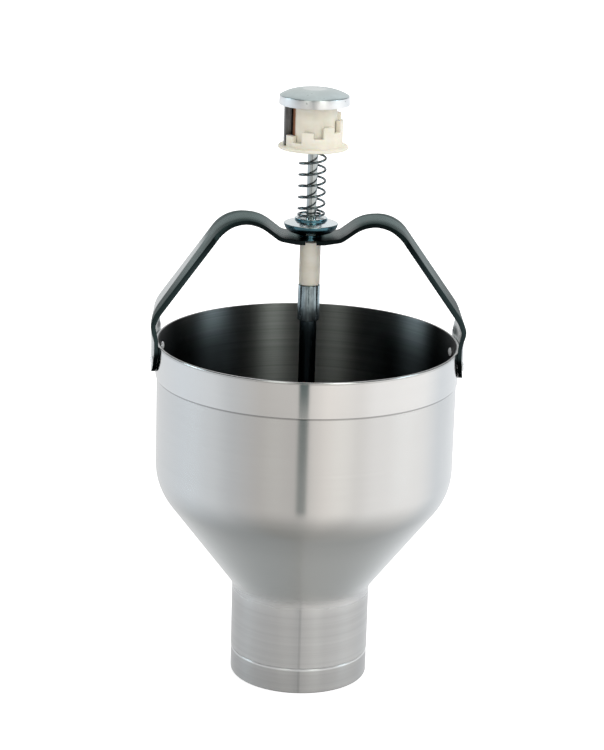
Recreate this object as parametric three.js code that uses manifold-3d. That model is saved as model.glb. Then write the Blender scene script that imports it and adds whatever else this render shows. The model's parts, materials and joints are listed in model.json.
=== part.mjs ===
// A hand-held batter dispenser: a spun hopper with a short spout, an arched strap handle riveted to
// its rim, and a sprung plunger that the thumb presses. The origin is the middle of the foot, Z is up,
// the handle runs along X and the front of the slot in the handle faces -Y. Lengths are millimetres.

import * as THREE from 'three';
import { mergeVertices } from 'three/addons/utils/BufferGeometryUtils.js';
import Module from 'manifold-3d';

const wasm = await Module();
wasm.setup();

const rad = THREE.MathUtils.degToRad;

// Clearances shared by many pieces.
const SEAT_GAP = 0.3;
const RUNNING_GAP = 0.4;
const OVERRUN = 5;

// Facets round a full turn, for large, middling and small rounds.
const LARGE_SIDES = 48;
const MIDDLE_SIDES = 36;
const SMALL_SIDES = 20;
const RIVET_SIDES = 12;
const FACET_SAG = 0.12;

// Hopper: a cylinder, a cone and a spout spun from one sheet.
const RIM_HEIGHT = 280.6;
const BODY_RADIUS = 119.7;
const HOPPER_WALL = 1.2;
const SPOUT_RADIUS = 56;
const NECK_HEIGHT = 77.6;
const CONE_ANGLE = rad(52.95);
const SHOULDER_FILLET = 48.7;
const NECK_FILLET = 6;
const LIP_THICKNESS = 1.6;
const LIP_ROUND = 0.7;

// Rim band: the hoop outside the hopper, under its lip.
const BAND_WALL = 0.8;
const BAND_DEPTH = 26.7;
const BAND_CHAMFER = 0.3;
const BAND_INNER_RADIUS = BODY_RADIUS + SEAT_GAP;
const BAND_OUTER_RADIUS = BAND_INNER_RADIUS + BAND_WALL;
const BAND_TOP = RIM_HEIGHT - LIP_THICKNESS - SEAT_GAP;

// Foot ring: stands the dispenser up, and its bore is the portion chamber.
const FOOT_HEIGHT = 21.5;
const FOOT_STEP = 0.2;
const FOOT_RADIUS = SPOUT_RADIUS - FOOT_STEP;
const FOOT_TOP_ROUND = 1.4;
const FOOT_BOTTOM_ROUND = 1.8;
const SPIGOT_RADIUS = SPOUT_RADIUS - HOPPER_WALL - SEAT_GAP;
const CHAMBER_WALL = 6;
const CHAMBER_DROP = 17.6;
const CHAMBER_CHAMFER = 2;
const CHAMBER_RADIUS = SPIGOT_RADIUS - CHAMBER_WALL;
const CHAMBER_TOP = NECK_HEIGHT - CHAMBER_DROP;
const VALVE_SHOULDER_DROP = 5.5;
const VALVE_RECESS_STEP = 3.1;
const VALVE_SHOULDER = FOOT_HEIGHT - VALVE_SHOULDER_DROP;
const VALVE_RECESS_RADIUS = CHAMBER_RADIUS + VALVE_RECESS_STEP;

// Handle: one strap, bent from ear to ear. Heights and places are those of its outer face, and the
// heights are counted from the rim.
const STRAP_THICKNESS = 3.2;
const STRAP_CENTRE_RISE = 84.9;
const STRAP_CENTRE_HEIGHT = RIM_HEIGHT + STRAP_CENTRE_RISE;
const STRAP_LAND_HALF_LENGTH = 10.5;
const STRAP_DIP_HALF_LENGTH = 23;
const STRAP_DIP_RISE = 2.3;
const STRAP_CREST_INSET = 67.46;
const STRAP_CREST_RISE = 28.53;
const STRAP_BEND_RISE = 19.3;
const STRAP_EAR_RISE = 2.4;
const STRAP_EAR_DROP = 27.1;
const STRAP_EAR_TOP = RIM_HEIGHT + STRAP_EAR_RISE;
const STRAP_EAR_BOTTOM = RIM_HEIGHT - STRAP_EAR_DROP;
const STRAP_BULGE = 1.3;
const STRAP_LAND_FILLET = 12;
const STRAP_DIP_FILLET = 9;
const STRAP_CREST_FILLET = 31.6;
const STRAP_BEND_FILLET = 34;
const STRAP_EAR_FILLET = 25;
const STRAP_CENTRE_HALF_WIDTH = 17.2;
const STRAP_CREST_HALF_WIDTH = 19.2;
const STRAP_EAR_HALF_WIDTH = 30;
const STRAP_TAPER_LENGTH = 30;
const STRAP_END_ROUND = 20;
const STRAP_END_POWER_SHARE = 0.8;
const STRAP_END_STEPS = 6;
const STRAP_SIDE_STEPS = 6;
const STRAP_CURL_HEIGHT = 18;
const EAR_RADIUS = BAND_OUTER_RADIUS + SEAT_GAP + STRAP_THICKNESS;

// Rivets: two through each ear, one before and one behind the handle's plane.
const RIVET_DROP = 12.6;
const RIVET_EDGE_DISTANCE = 8;
const RIVET_HEIGHT = RIM_HEIGHT - RIVET_DROP;
const RIVET_ANGLE = (STRAP_EAR_HALF_WIDTH - RIVET_EDGE_DISTANCE) / EAR_RADIUS;
const RIVET_SHANK_RADIUS = 2.2;
const RIVET_HEAD_RADIUS = 3.6;
const RIVET_HEAD_HEIGHT = 1.7;
const RIVET_HEAD_STEPS = 3;

// Rod: runs from the thumb cap to the valve.
const ROD_RADIUS = 4;
const ROD_END_CHAMFER = 0.5;
const ROD_BORE_RADIUS = ROD_RADIUS + RUNNING_GAP;

// Spring seat: the bowl-bottomed disc that sits in the middle of the handle.
const SEAT_SPIGOT_RADIUS = 6.8;
const SEAT_SPIGOT_LENGTH = 2.6;
const SEAT_FOOT_RADIUS = 9;
const SEAT_FOOT_HEIGHT = 2.8;
const SEAT_BOWL_RADIUS = 13;
const SEAT_BOWL_HEIGHT = 5.6;
const SEAT_BOWL_FILLET = 7;
const SEAT_RADIUS = 21.2;
const SEAT_EDGE_HEIGHT = 2.6;
const SEAT_EDGE_ROUND = 1.1;
const SEAT_CROWN_HEIGHT = 1.8;
const SEAT_BOSS_RADIUS = 12.8;
const SEAT_BOSS_HEIGHT = 2.7;
const SEAT_BOSS_ROUND = 0.8;
const POCKET_RADIUS = SEAT_SPIGOT_RADIUS + RUNNING_GAP;
const SLOT_WIDTH = 2 * (ROD_RADIUS + RUNNING_GAP);
const SEAT_BOTTOM = STRAP_CENTRE_HEIGHT + SEAT_GAP;
const SEAT_TOP = SEAT_BOTTOM + SEAT_FOOT_HEIGHT + SEAT_BOWL_HEIGHT + SEAT_EDGE_HEIGHT
  + SEAT_CROWN_HEIGHT + SEAT_BOSS_HEIGHT;

// Return spring: round wire, with a close turn at each end.
const SPRING_RADIUS = 10.15;
const WIRE_RADIUS = 0.8;
const SPRING_PITCH = 8.95;
const SPRING_END_RISE = 2.15;
const SPRING_START_ANGLE = rad(45);
const CURL_STEPS = 8;
const WIRE_SIDES = 5;

// Portion ring: a flange with a crenellated crown, each notch one step higher than the last.
const FLANGE_RADIUS = 27.5;
const FLANGE_THICKNESS = 2.4;
const FLANGE_BEVEL = 0.8;
const FLANGE_LIFT = 57.2;
const FLANGE_TOP = SEAT_TOP + FLANGE_LIFT;
const CROWN_WALL = 4.2;
const PORTION_STEP = 4;
const PORTION_NOTCHES = 6;
const MERLON_RISE = 4.8;
const FIRST_NOTCH_ANGLE = rad(-171);
const NOTCH_PITCH = rad(45);
const NOTCH_WIDTH_ANGLE = rad(21);
const NOTCH_LAP_ANGLE = rad(1);
const POCKET_DEPTH = 14;
const POCKET_WALL = 2;
const POCKET_ROOF = 2;
const SPRING_POCKET_RADIUS = SPRING_RADIUS + WIRE_RADIUS + 2 * SEAT_GAP;
const FLANGE_BOTTOM = FLANGE_TOP - FLANGE_THICKNESS;
const POCKET_TOP = FLANGE_BOTTOM + POCKET_DEPTH;

// Cap sleeve: the plain nylon tube under the thumb cap, which the crown slides round.
const SLEEVE_RADIUS = 18;
const SLEEVE_WALL = 3.5;
const SLEEVE_WEB = 3;
const SLEEVE_LENGTH = 34.9;
const SLEEVE_BOTTOM = FLANGE_TOP + SEAT_GAP;
const SLEEVE_TOP = SLEEVE_BOTTOM + SLEEVE_LENGTH;
const CROWN_INNER_RADIUS = SLEEVE_RADIUS + 2 * SEAT_GAP;
const CROWN_OUTER_RADIUS = CROWN_INNER_RADIUS + CROWN_WALL;

// Stop finger: a bent steel tab, clamped on the sleeve, whose leg stands in a notch of the crown.
const FINGER_THICKNESS = 2;
const FINGER_WIDTH = 6.6;
const FINGER_BEND_ROUND = 2.5;
const FINGER_EYE_RADIUS = 11;
const FINGER_OUTER_RADIUS = CROWN_OUTER_RADIUS + SEAT_GAP;
const FINGER_LEG_THICKNESS = FINGER_OUTER_RADIUS - SLEEVE_RADIUS - RUNNING_GAP;
const FINGER_BOTTOM = FLANGE_TOP + SEAT_GAP;
const FINGER_TOP = SLEEVE_TOP + SEAT_GAP + FINGER_THICKNESS;

// Thumb cap: a shallow dome with a small flat and a skirt.
const CAP_RADIUS = 27.6;
const CAP_SKIRT_TAPER = 0.4;
const CAP_SKIRT_LAP = 3.2;
const CAP_SKIRT_HEIGHT = 6.9;
const CAP_DOME_HEIGHT = 5.1;
const CAP_FLAT_RADIUS = 9.3;
const CAP_WALL = 2.2;
const CAP_ROOF = 3;
const CAP_BOSS_RADIUS = 8;
const CAP_DOME_STEPS = 5;
const CAP_EDGE_ROUND = 0.7;
const CAP_SKIRT_BOTTOM = SLEEVE_TOP - CAP_SKIRT_LAP;
const CAP_TOP = CAP_SKIRT_BOTTOM + CAP_SKIRT_HEIGHT + CAP_DOME_HEIGHT;

// Nuts and washer on the rod.
const NUT_ACROSS_FLATS = 13;
const NUT_THICKNESS = 5;
const WASHER_RADIUS = 9;
const WASHER_THICKNESS = 1.5;

// Sleeves on the rod below the handle.
const STOP_TUBE_RADIUS = 8.3;
const STOP_TUBE_LENGTH = 34.7;
const STOP_TUBE_CHAMFER = 0.6;
const COLLAR_TOP_RADIUS = 8.6;
const COLLAR_BOTTOM_RADIUS = 8.9;
const COLLAR_LENGTH = 28.6;
const COLLAR_CHAMFER = 0.5;
const PLUNGER_TUBE_RADIUS = 6.8;
const STOP_TUBE_TOP = STRAP_CENTRE_HEIGHT - STRAP_THICKNESS - SEAT_GAP;
const STOP_TUBE_BOTTOM = STOP_TUBE_TOP - STOP_TUBE_LENGTH;
const COLLAR_TOP = STOP_TUBE_BOTTOM - SEAT_GAP;
const COLLAR_BOTTOM = COLLAR_TOP - COLLAR_LENGTH;

// Piston: waits above the chamber and drives the portion out of it.
const PISTON_APPROACH = 21;
const PISTON_THICKNESS = 8;
const PISTON_SIDE_GAP = 0.7;
const PISTON_CHAMFER = 1;
const PISTON_GROOVE_WIDTH = 3;
const PISTON_GROOVE_DEPTH = 3.3;
const SEAL_SIDE_GAP = 0.35;
const PISTON_BOTTOM = CHAMBER_TOP + PISTON_APPROACH;
const PISTON_TOP = PISTON_BOTTOM + PISTON_THICKNESS;
const PISTON_RADIUS = CHAMBER_RADIUS - PISTON_SIDE_GAP;

// Valve: a disc and its gasket, pulled up against the shoulder in the foot ring.
const GASKET_THICKNESS = 2;
const GASKET_WIDTH = 6;
const VALVE_THICKNESS = 3;
const VALVE_CHAMFER = 0.5;
const VALVE_RADIUS = VALVE_RECESS_RADIUS - 2 * SEAT_GAP;
const GASKET_TOP = VALVE_SHOULDER - SEAT_GAP;
const GASKET_BOTTOM = GASKET_TOP - GASKET_THICKNESS;
const VALVE_TOP = GASKET_BOTTOM - SEAT_GAP;
const VALVE_BOTTOM = VALVE_TOP - VALVE_THICKNESS;
const WASHER_TOP = VALVE_BOTTOM - SEAT_GAP;
const VALVE_NUT_TOP = WASHER_TOP - WASHER_THICKNESS - SEAT_GAP;
const ROD_BOTTOM = VALVE_NUT_TOP - NUT_THICKNESS - ROD_END_CHAMFER;
const ROD_TOP = CAP_TOP - CAP_ROOF - SEAT_GAP;

const STEEL = { color: 0xb9b9bb, roughness: 0.35, metalness: 1 };
const DARK_STEEL = { color: 0x6e6a68, roughness: 0.38, metalness: 1 };
const CHROME = { color: 0xc9ccd0, roughness: 0.12, metalness: 1 };
const CAST_METAL = { color: 0xaab4b8, roughness: 0.35, metalness: 1 };
const NYLON = { color: 0xf0e8d6, roughness: 0.5, metalness: 0 };
const RUBBER = { color: 0x2a2a2c, roughness: 0.8, metalness: 0 };

function corner(x, y, round = 0) {
  return { x, y, round };
}

// Rounds the corners of an outline. Each corner with a round becomes an arc tangent to both sides.
function roundedOutline(corners, closed) {
  const points = [];
  corners.forEach((here, index) => {
    const last = corners.length - 1;
    const isEnd = !closed && (index === 0 || index === last);
    if (!here.round || isEnd) {
      points.push(new THREE.Vector2(here.x, here.y));
      return;
    }
    const before = corners[(index + last) % corners.length];
    const after = corners[(index + 1) % corners.length];
    const toBefore = new THREE.Vector2(before.x - here.x, before.y - here.y).normalize();
    const toAfter = new THREE.Vector2(after.x - here.x, after.y - here.y).normalize();
    const inside = Math.acos(THREE.MathUtils.clamp(toBefore.dot(toAfter), -1, 1));
    const turn = Math.PI - inside;
    const reach = here.round * Math.tan(turn / 2);
    const bisector = toBefore.clone().add(toAfter).normalize();
    const centre = new THREE.Vector2(here.x, here.y)
      .addScaledVector(bisector, here.round / Math.sin(inside / 2));
    const start = new THREE.Vector2(here.x, here.y).addScaledVector(toBefore, reach).sub(centre);
    const end = new THREE.Vector2(here.x, here.y).addScaledVector(toAfter, reach).sub(centre);
    const sense = Math.sign(start.cross(end));
    const facet = 2 * Math.acos(1 - Math.min(FACET_SAG / here.round, 1 / 2));
    const steps = Math.max(2, Math.ceil(turn / facet));
    for (let step = 0; step <= steps; step += 1) {
      const spoke = start.clone().rotateAround(new THREE.Vector2(), sense * turn * step / steps);
      points.push(centre.clone().add(spoke));
    }
  });
  if (closed) points.push(points[0].clone());
  return points;
}

function signedVolume(geometry) {
  const place = geometry.getAttribute('position');
  const order = geometry.getIndex().array;
  const a = new THREE.Vector3();
  const b = new THREE.Vector3();
  const c = new THREE.Vector3();
  let sum = 0;
  for (let i = 0; i < order.length; i += 3) {
    a.fromBufferAttribute(place, order[i]);
    b.fromBufferAttribute(place, order[i + 1]);
    c.fromBufferAttribute(place, order[i + 2]);
    sum += a.dot(b.cross(c));
  }
  return sum / 6;
}

// Merges shared vertices, drops triangles with no area and turns the faces outward.
function tidy(geometry) {
  const bare = geometry.clone();
  bare.deleteAttribute('normal');
  bare.deleteAttribute('uv');
  const merged = mergeVertices(bare, 1e-4);
  const order = merged.getIndex().array;
  const kept = [];
  for (let i = 0; i < order.length; i += 3) {
    const [a, b, c] = [order[i], order[i + 1], order[i + 2]];
    if (a !== b && b !== c && c !== a) kept.push(a, b, c);
  }
  merged.setIndex(kept);
  if (signedVolume(merged) < 0) {
    for (let i = 0; i < kept.length; i += 3) {
      [kept[i], kept[i + 1]] = [kept[i + 1], kept[i]];
    }
    merged.setIndex(kept);
  }
  return merged;
}

function toSolid(geometry) {
  const clean = tidy(geometry);
  return new wasm.Manifold(new wasm.Mesh({
    numProp: 3,
    vertProperties: new Float32Array(clean.getAttribute('position').array),
    triVerts: new Uint32Array(clean.getIndex().array),
  }));
}

function toGeometry(solid) {
  const mesh = solid.getMesh();
  const geometry = new THREE.BufferGeometry();
  geometry.setAttribute('position', new THREE.BufferAttribute(mesh.vertProperties, mesh.numProp));
  geometry.setIndex(new THREE.BufferAttribute(mesh.triVerts, 1));
  return geometry;
}

function cut(geometry, ...cutters) {
  return toGeometry(cutters.reduce((solid, cutter) => solid.subtract(toSolid(cutter)), toSolid(geometry)));
}

function join(geometry, ...others) {
  return toGeometry(others.reduce((solid, other) => solid.add(toSolid(other)), toSolid(geometry)));
}

// Turns an outline of radius and height about the Z axis.
function turned(corners, closed, sides) {
  const profile = roundedOutline(corners, closed);
  return tidy(new THREE.LatheGeometry(profile, sides).rotateX(Math.PI / 2));
}

// A tube on the Z axis, with the same chamfer on both outer edges.
function tube(innerRadius, bottomRadius, topRadius, bottom, top, chamfer, sides) {
  return turned([
    corner(innerRadius, bottom),
    corner(bottomRadius - chamfer, bottom),
    corner(bottomRadius, bottom + chamfer),
    corner(topRadius, top - chamfer),
    corner(topRadius - chamfer, top),
    corner(innerRadius, top),
  ], true, sides);
}

function rivetBores() {
  const bores = [];
  for (const side of [0, Math.PI]) {
    for (const angle of [-RIVET_ANGLE, RIVET_ANGLE]) {
      const reach = 2 * (EAR_RADIUS - BODY_RADIUS + HOPPER_WALL + OVERRUN);
      const bore = new THREE.CylinderGeometry(
        RIVET_SHANK_RADIUS + SEAT_GAP, RIVET_SHANK_RADIUS + SEAT_GAP, reach, RIVET_SIDES);
      bore.rotateZ(Math.PI / 2).translate(BODY_RADIUS, 0, 0).rotateZ(side + angle);
      bores.push(bore.translate(0, 0, RIVET_HEIGHT));
    }
  }
  return bores;
}

function hopperBowl() {
  const rise = (BODY_RADIUS - SPOUT_RADIUS) * Math.tan(CONE_ANGLE);
  const shift = HOPPER_WALL * (1 / Math.cos(CONE_ANGLE) - Math.tan(CONE_ANGLE));
  const spoutBottom = FOOT_HEIGHT + SEAT_GAP;
  const lipBottom = RIM_HEIGHT - LIP_THICKNESS;
  const sheet = turned([
    corner(SPOUT_RADIUS, spoutBottom),
    corner(SPOUT_RADIUS, NECK_HEIGHT, NECK_FILLET),
    corner(BODY_RADIUS, NECK_HEIGHT + rise, SHOULDER_FILLET),
    corner(BODY_RADIUS, lipBottom),
    corner(BAND_OUTER_RADIUS, lipBottom),
    corner(BAND_OUTER_RADIUS, RIM_HEIGHT, LIP_ROUND),
    corner(BODY_RADIUS - HOPPER_WALL, RIM_HEIGHT, LIP_ROUND),
    corner(BODY_RADIUS - HOPPER_WALL, NECK_HEIGHT + rise + shift, SHOULDER_FILLET - HOPPER_WALL),
    corner(SPOUT_RADIUS - HOPPER_WALL, NECK_HEIGHT + shift, NECK_FILLET + HOPPER_WALL),
    corner(SPOUT_RADIUS - HOPPER_WALL, spoutBottom),
  ], true, LARGE_SIDES);
  return cut(sheet, ...rivetBores());
}

function rimBand() {
  const hoop = turned([
    corner(BAND_INNER_RADIUS, BAND_TOP - BAND_DEPTH),
    corner(BAND_OUTER_RADIUS - BAND_CHAMFER, BAND_TOP - BAND_DEPTH),
    corner(BAND_OUTER_RADIUS, BAND_TOP - BAND_DEPTH + BAND_CHAMFER),
    corner(BAND_OUTER_RADIUS, BAND_TOP),
    corner(BAND_INNER_RADIUS, BAND_TOP),
  ], true, LARGE_SIDES);
  return cut(hoop, ...rivetBores());
}

function footRing() {
  return turned([
    corner(VALVE_RECESS_RADIUS, 0),
    corner(FOOT_RADIUS, 0, FOOT_BOTTOM_ROUND),
    corner(FOOT_RADIUS, FOOT_HEIGHT, FOOT_TOP_ROUND),
    corner(SPIGOT_RADIUS, FOOT_HEIGHT),
    corner(SPIGOT_RADIUS, CHAMBER_TOP),
    corner(CHAMBER_RADIUS + CHAMBER_CHAMFER, CHAMBER_TOP),
    corner(CHAMBER_RADIUS, CHAMBER_TOP - CHAMBER_CHAMFER),
    corner(CHAMBER_RADIUS, VALVE_SHOULDER),
    corner(VALVE_RECESS_RADIUS, VALVE_SHOULDER),
  ], true, LARGE_SIDES);
}

// The outer face of the strap from the middle of the handle to the right ear.
function strapHalfPath() {
  const dipHeight = STRAP_CENTRE_HEIGHT + STRAP_DIP_RISE;
  const bendRadius = EAR_RADIUS + STRAP_BULGE;
  const crestHeight = STRAP_CENTRE_HEIGHT + STRAP_CREST_RISE;
  return roundedOutline([
    corner(0, STRAP_CENTRE_HEIGHT),
    corner(STRAP_LAND_HALF_LENGTH, STRAP_CENTRE_HEIGHT, STRAP_LAND_FILLET),
    corner(STRAP_DIP_HALF_LENGTH, dipHeight, STRAP_DIP_FILLET),
    corner(bendRadius - STRAP_CREST_INSET, crestHeight, STRAP_CREST_FILLET),
    corner(bendRadius, RIM_HEIGHT + STRAP_BEND_RISE, STRAP_BEND_FILLET),
    corner(EAR_RADIUS, STRAP_EAR_TOP, STRAP_EAR_FILLET),
    corner(EAR_RADIUS, STRAP_EAR_BOTTOM + STRAP_END_ROUND),
  ], false);
}

// Places along half the strap, each with its direction and its half width. The strap is narrow from the
// middle to the crest, widens as it bends over the crest and ends in a rounded spade.
function strapHalfStations() {
  const path = strapHalfPath();
  const along = [0];
  for (let i = 1; i < path.length; i += 1) {
    along.push(along[i - 1] + path[i].distanceTo(path[i - 1]));
  }
  const top = path.reduce((best, point, i) => (point.y > path[best].y ? i : best), 0);
  const stations = path.map((point, i) => {
    const before = path[Math.max(i - 1, 0)];
    const after = path[Math.min(i + 1, path.length - 1)];
    const heading = i === 0 ? new THREE.Vector2(1, 0) : after.clone().sub(before).normalize();
    const isInner = along[i] <= along[top];
    const past = Math.min((along[i] - along[top]) / STRAP_TAPER_LENGTH, 1);
    const share = isInner ? along[i] / along[top] : past;
    const half = isInner
      ? THREE.MathUtils.lerp(STRAP_CENTRE_HALF_WIDTH, STRAP_CREST_HALF_WIDTH, share)
      : THREE.MathUtils.lerp(STRAP_CREST_HALF_WIDTH, STRAP_EAR_HALF_WIDTH, share);
    return { point, heading, half };
  });
  for (let step = STRAP_END_STEPS - 1; step >= 0; step -= 1) {
    const turn = (step + 1 / 2) / STRAP_END_STEPS * Math.PI / 2;
    const inset = STRAP_END_ROUND * (1 - Math.cos(turn) ** STRAP_END_POWER_SHARE);
    stations.push({
      point: new THREE.Vector2(EAR_RADIUS, STRAP_EAR_BOTTOM + inset),
      heading: new THREE.Vector2(0, -1),
      half: STRAP_EAR_HALF_WIDTH * Math.sin(turn) ** STRAP_END_POWER_SHARE,
    });
  }
  return stations;
}

// The strap is flat across its width over the hopper and curls round the hopper's wall at the ears.
function strapSheet() {
  const right = strapHalfStations();
  const left = right.slice(1).reverse().map(({ point, heading, half }) => ({
    point: new THREE.Vector2(-point.x, point.y),
    heading: new THREE.Vector2(heading.x, -heading.y),
    half,
  }));
  const stations = [...left, ...right];
  const faces = [0, STRAP_THICKNESS].map((depth) => stations.map(({ point, heading, half }) => {
    const low = STRAP_EAR_TOP + STRAP_CURL_HEIGHT - point.y;
    const curl = THREE.MathUtils.smoothstep(low, 0, STRAP_CURL_HEIGHT) * Math.sign(point.x);
    const row = [];
    for (let step = 0; step <= STRAP_SIDE_STEPS; step += 1) {
      const across = half * (2 * step / STRAP_SIDE_STEPS - 1);
      const angle = across * curl / EAR_RADIUS;
      const sag = curl ? EAR_RADIUS / curl * (1 - Math.cos(angle)) : 0;
      const spread = curl ? EAR_RADIUS / curl * Math.sin(angle) : across;
      const lean = -heading.y * Math.cos(angle);
      row.push(new THREE.Vector3(
        point.x - sag - depth * lean,
        spread - depth * Math.abs(heading.y) * Math.sin(Math.abs(angle)) * Math.sign(across),
        point.y - depth * heading.x,
      ));
    }
    return row;
  }));
  return closedGrid(faces[0], faces[1]);
}

// Joins two equal grids of points, face to face, into one closed skin.
function closedGrid(upper, lower) {
  const rows = upper.length;
  const columns = upper[0].length;
  const points = [...upper.flat(), ...lower.flat()];
  const at = (face, row, column) => (face * rows + row) * columns + column;
  const order = [];
  const quad = (a, b, c, d) => order.push(a, b, c, a, c, d);
  for (let row = 0; row < rows - 1; row += 1) {
    for (let column = 0; column < columns - 1; column += 1) {
      quad(at(0, row, column), at(0, row + 1, column), at(0, row + 1, column + 1), at(0, row, column + 1));
      quad(at(1, row, column), at(1, row, column + 1), at(1, row + 1, column + 1), at(1, row + 1, column));
    }
    quad(at(0, row, 0), at(1, row, 0), at(1, row + 1, 0), at(0, row + 1, 0));
    const edge = columns - 1;
    quad(at(0, row, edge), at(0, row + 1, edge), at(1, row + 1, edge), at(1, row, edge));
  }
  for (let column = 0; column < columns - 1; column += 1) {
    quad(at(0, 0, column), at(0, 0, column + 1), at(1, 0, column + 1), at(1, 0, column));
    const end = rows - 1;
    quad(at(0, end, column), at(1, end, column), at(1, end, column + 1), at(0, end, column + 1));
  }
  const geometry = new THREE.BufferGeometry().setFromPoints(points);
  geometry.setIndex(order);
  return tidy(geometry);
}

function handleStrap() {
  const height = 2 * (STRAP_THICKNESS + OVERRUN);
  const length = STRAP_CENTRE_HALF_WIDTH + OVERRUN;
  const pocket = new THREE.CylinderGeometry(POCKET_RADIUS, POCKET_RADIUS, height, MIDDLE_SIDES);
  pocket.rotateX(Math.PI / 2).translate(0, 0, STRAP_CENTRE_HEIGHT);
  const slot = new THREE.BoxGeometry(SLOT_WIDTH, length, height);
  slot.translate(0, -length / 2, STRAP_CENTRE_HEIGHT);
  return cut(strapSheet(), join(pocket, slot), ...rivetBores());
}

// A rivet lies along X until it is turned to its place.
function rivet() {
  const innerSeat = BODY_RADIUS - HOPPER_WALL - SEAT_GAP;
  const outerSeat = EAR_RADIUS + SEAT_GAP;
  const dome = (seat, sense) => {
    const points = [];
    for (let step = 0; step <= RIVET_HEAD_STEPS; step += 1) {
      const turn = step / RIVET_HEAD_STEPS * Math.PI / 2;
      const radius = step === RIVET_HEAD_STEPS ? 0 : RIVET_HEAD_RADIUS * Math.cos(turn);
      points.push(corner(radius, seat + sense * RIVET_HEAD_HEIGHT * Math.sin(turn)));
    }
    return points;
  };
  const profile = [
    ...dome(innerSeat, -1).reverse(),
    corner(RIVET_SHANK_RADIUS, innerSeat),
    corner(RIVET_SHANK_RADIUS, outerSeat),
    ...dome(outerSeat, 1),
  ];
  return turned(profile, false, RIVET_SIDES).rotateY(Math.PI / 2);
}

function springSeat() {
  const footTop = SEAT_BOTTOM + SEAT_FOOT_HEIGHT;
  const bowlTop = footTop + SEAT_BOWL_HEIGHT;
  const edgeTop = bowlTop + SEAT_EDGE_HEIGHT;
  const crownTop = edgeTop + SEAT_CROWN_HEIGHT;
  return turned([
    corner(ROD_BORE_RADIUS, SEAT_BOTTOM - SEAT_SPIGOT_LENGTH),
    corner(SEAT_SPIGOT_RADIUS, SEAT_BOTTOM - SEAT_SPIGOT_LENGTH),
    corner(SEAT_SPIGOT_RADIUS, SEAT_BOTTOM),
    corner(SEAT_FOOT_RADIUS, SEAT_BOTTOM),
    corner(SEAT_FOOT_RADIUS, footTop),
    corner(SEAT_BOWL_RADIUS, footTop),
    corner(SEAT_RADIUS, bowlTop - SEAT_EDGE_HEIGHT, SEAT_BOWL_FILLET),
    corner(SEAT_RADIUS, edgeTop, SEAT_EDGE_ROUND),
    corner(SEAT_BOSS_RADIUS, crownTop),
    corner(SEAT_BOSS_RADIUS, SEAT_TOP, SEAT_BOSS_ROUND),
    corner(ROD_BORE_RADIUS, SEAT_TOP),
  ], true, MIDDLE_SIDES);
}

// The wire's centre line: a close turn, even turns up to the pocket, and a close turn.
function springPoints() {
  const bottom = SEAT_TOP + SEAT_GAP + WIRE_RADIUS;
  const top = POCKET_TOP - SEAT_GAP - WIRE_RADIUS;
  const openTurns = (top - bottom - 2 * SPRING_END_RISE) / SPRING_PITCH;
  const turns = openTurns + 2;
  const steps = Math.round(turns * CURL_STEPS);
  const points = [];
  for (let step = 0; step <= steps; step += 1) {
    const turn = step / steps * turns;
    const closed = Math.min(turn, 1) + Math.max(turn - turns + 1, 0);
    const open = THREE.MathUtils.clamp(turn - 1, 0, openTurns);
    const angle = SPRING_START_ANGLE + turn * 2 * Math.PI;
    points.push(new THREE.Vector3(
      SPRING_RADIUS * Math.cos(angle),
      SPRING_RADIUS * Math.sin(angle),
      bottom + closed * SPRING_END_RISE + open * SPRING_PITCH,
    ));
  }
  return points;
}

function leastSpringGap(points) {
  let least = Infinity;
  points.forEach((point, i) => {
    for (let j = i + CURL_STEPS - 1; j < points.length; j += 1) {
      least = Math.min(least, point.distanceTo(points[j]) - 2 * WIRE_RADIUS);
    }
  });
  return least;
}

// One unbroken tube of wire: a ring of points square to the wire at each step, and a cap at each end.
function returnSpring() {
  const points = springPoints();
  console.log(`least gap between the spring's turns: ${leastSpringGap(points).toFixed(2)} mm`);
  const vertices = [];
  const order = [];
  points.forEach((point, i) => {
    const before = points[Math.max(i - 1, 0)];
    const after = points[Math.min(i + 1, points.length - 1)];
    const along = after.clone().sub(before).normalize();
    const outward = new THREE.Vector3(point.x, point.y, 0).normalize();
    const upward = along.clone().cross(outward).normalize();
    outward.copy(upward).cross(along).normalize();
    for (let side = 0; side < WIRE_SIDES; side += 1) {
      const turn = side / WIRE_SIDES * 2 * Math.PI;
      vertices.push(point.clone()
        .addScaledVector(outward, WIRE_RADIUS * Math.cos(turn))
        .addScaledVector(upward, WIRE_RADIUS * Math.sin(turn)));
    }
  });
  const last = (points.length - 1) * WIRE_SIDES;
  for (let side = 0; side < WIRE_SIDES; side += 1) {
    const next = (side + 1) % WIRE_SIDES;
    for (let ring = 0; ring < last; ring += WIRE_SIDES) {
      order.push(ring + side, ring + next, ring + WIRE_SIDES + next);
      order.push(ring + side, ring + WIRE_SIDES + next, ring + WIRE_SIDES + side);
    }
  }
  for (let side = 1; side < WIRE_SIDES - 1; side += 1) {
    order.push(0, side + 1, side);
    order.push(last, last + side, last + side + 1);
  }
  const geometry = new THREE.BufferGeometry().setFromPoints(vertices);
  geometry.setIndex(order);
  return tidy(geometry);
}

// A block of the crown between two angles, standing up from the flange.
function crownBlock(from, to, height) {
  const shape = new THREE.Shape();
  shape.absarc(0, 0, CROWN_OUTER_RADIUS, from, to, false);
  shape.absarc(0, 0, CROWN_INNER_RADIUS, to, from, true);
  const sunk = FLANGE_THICKNESS / 2;
  const block = new THREE.ExtrudeGeometry(shape, {
    depth: height + sunk,
    bevelEnabled: false,
    curveSegments: 4,
  });
  return block.translate(0, 0, FLANGE_TOP - sunk);
}

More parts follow.
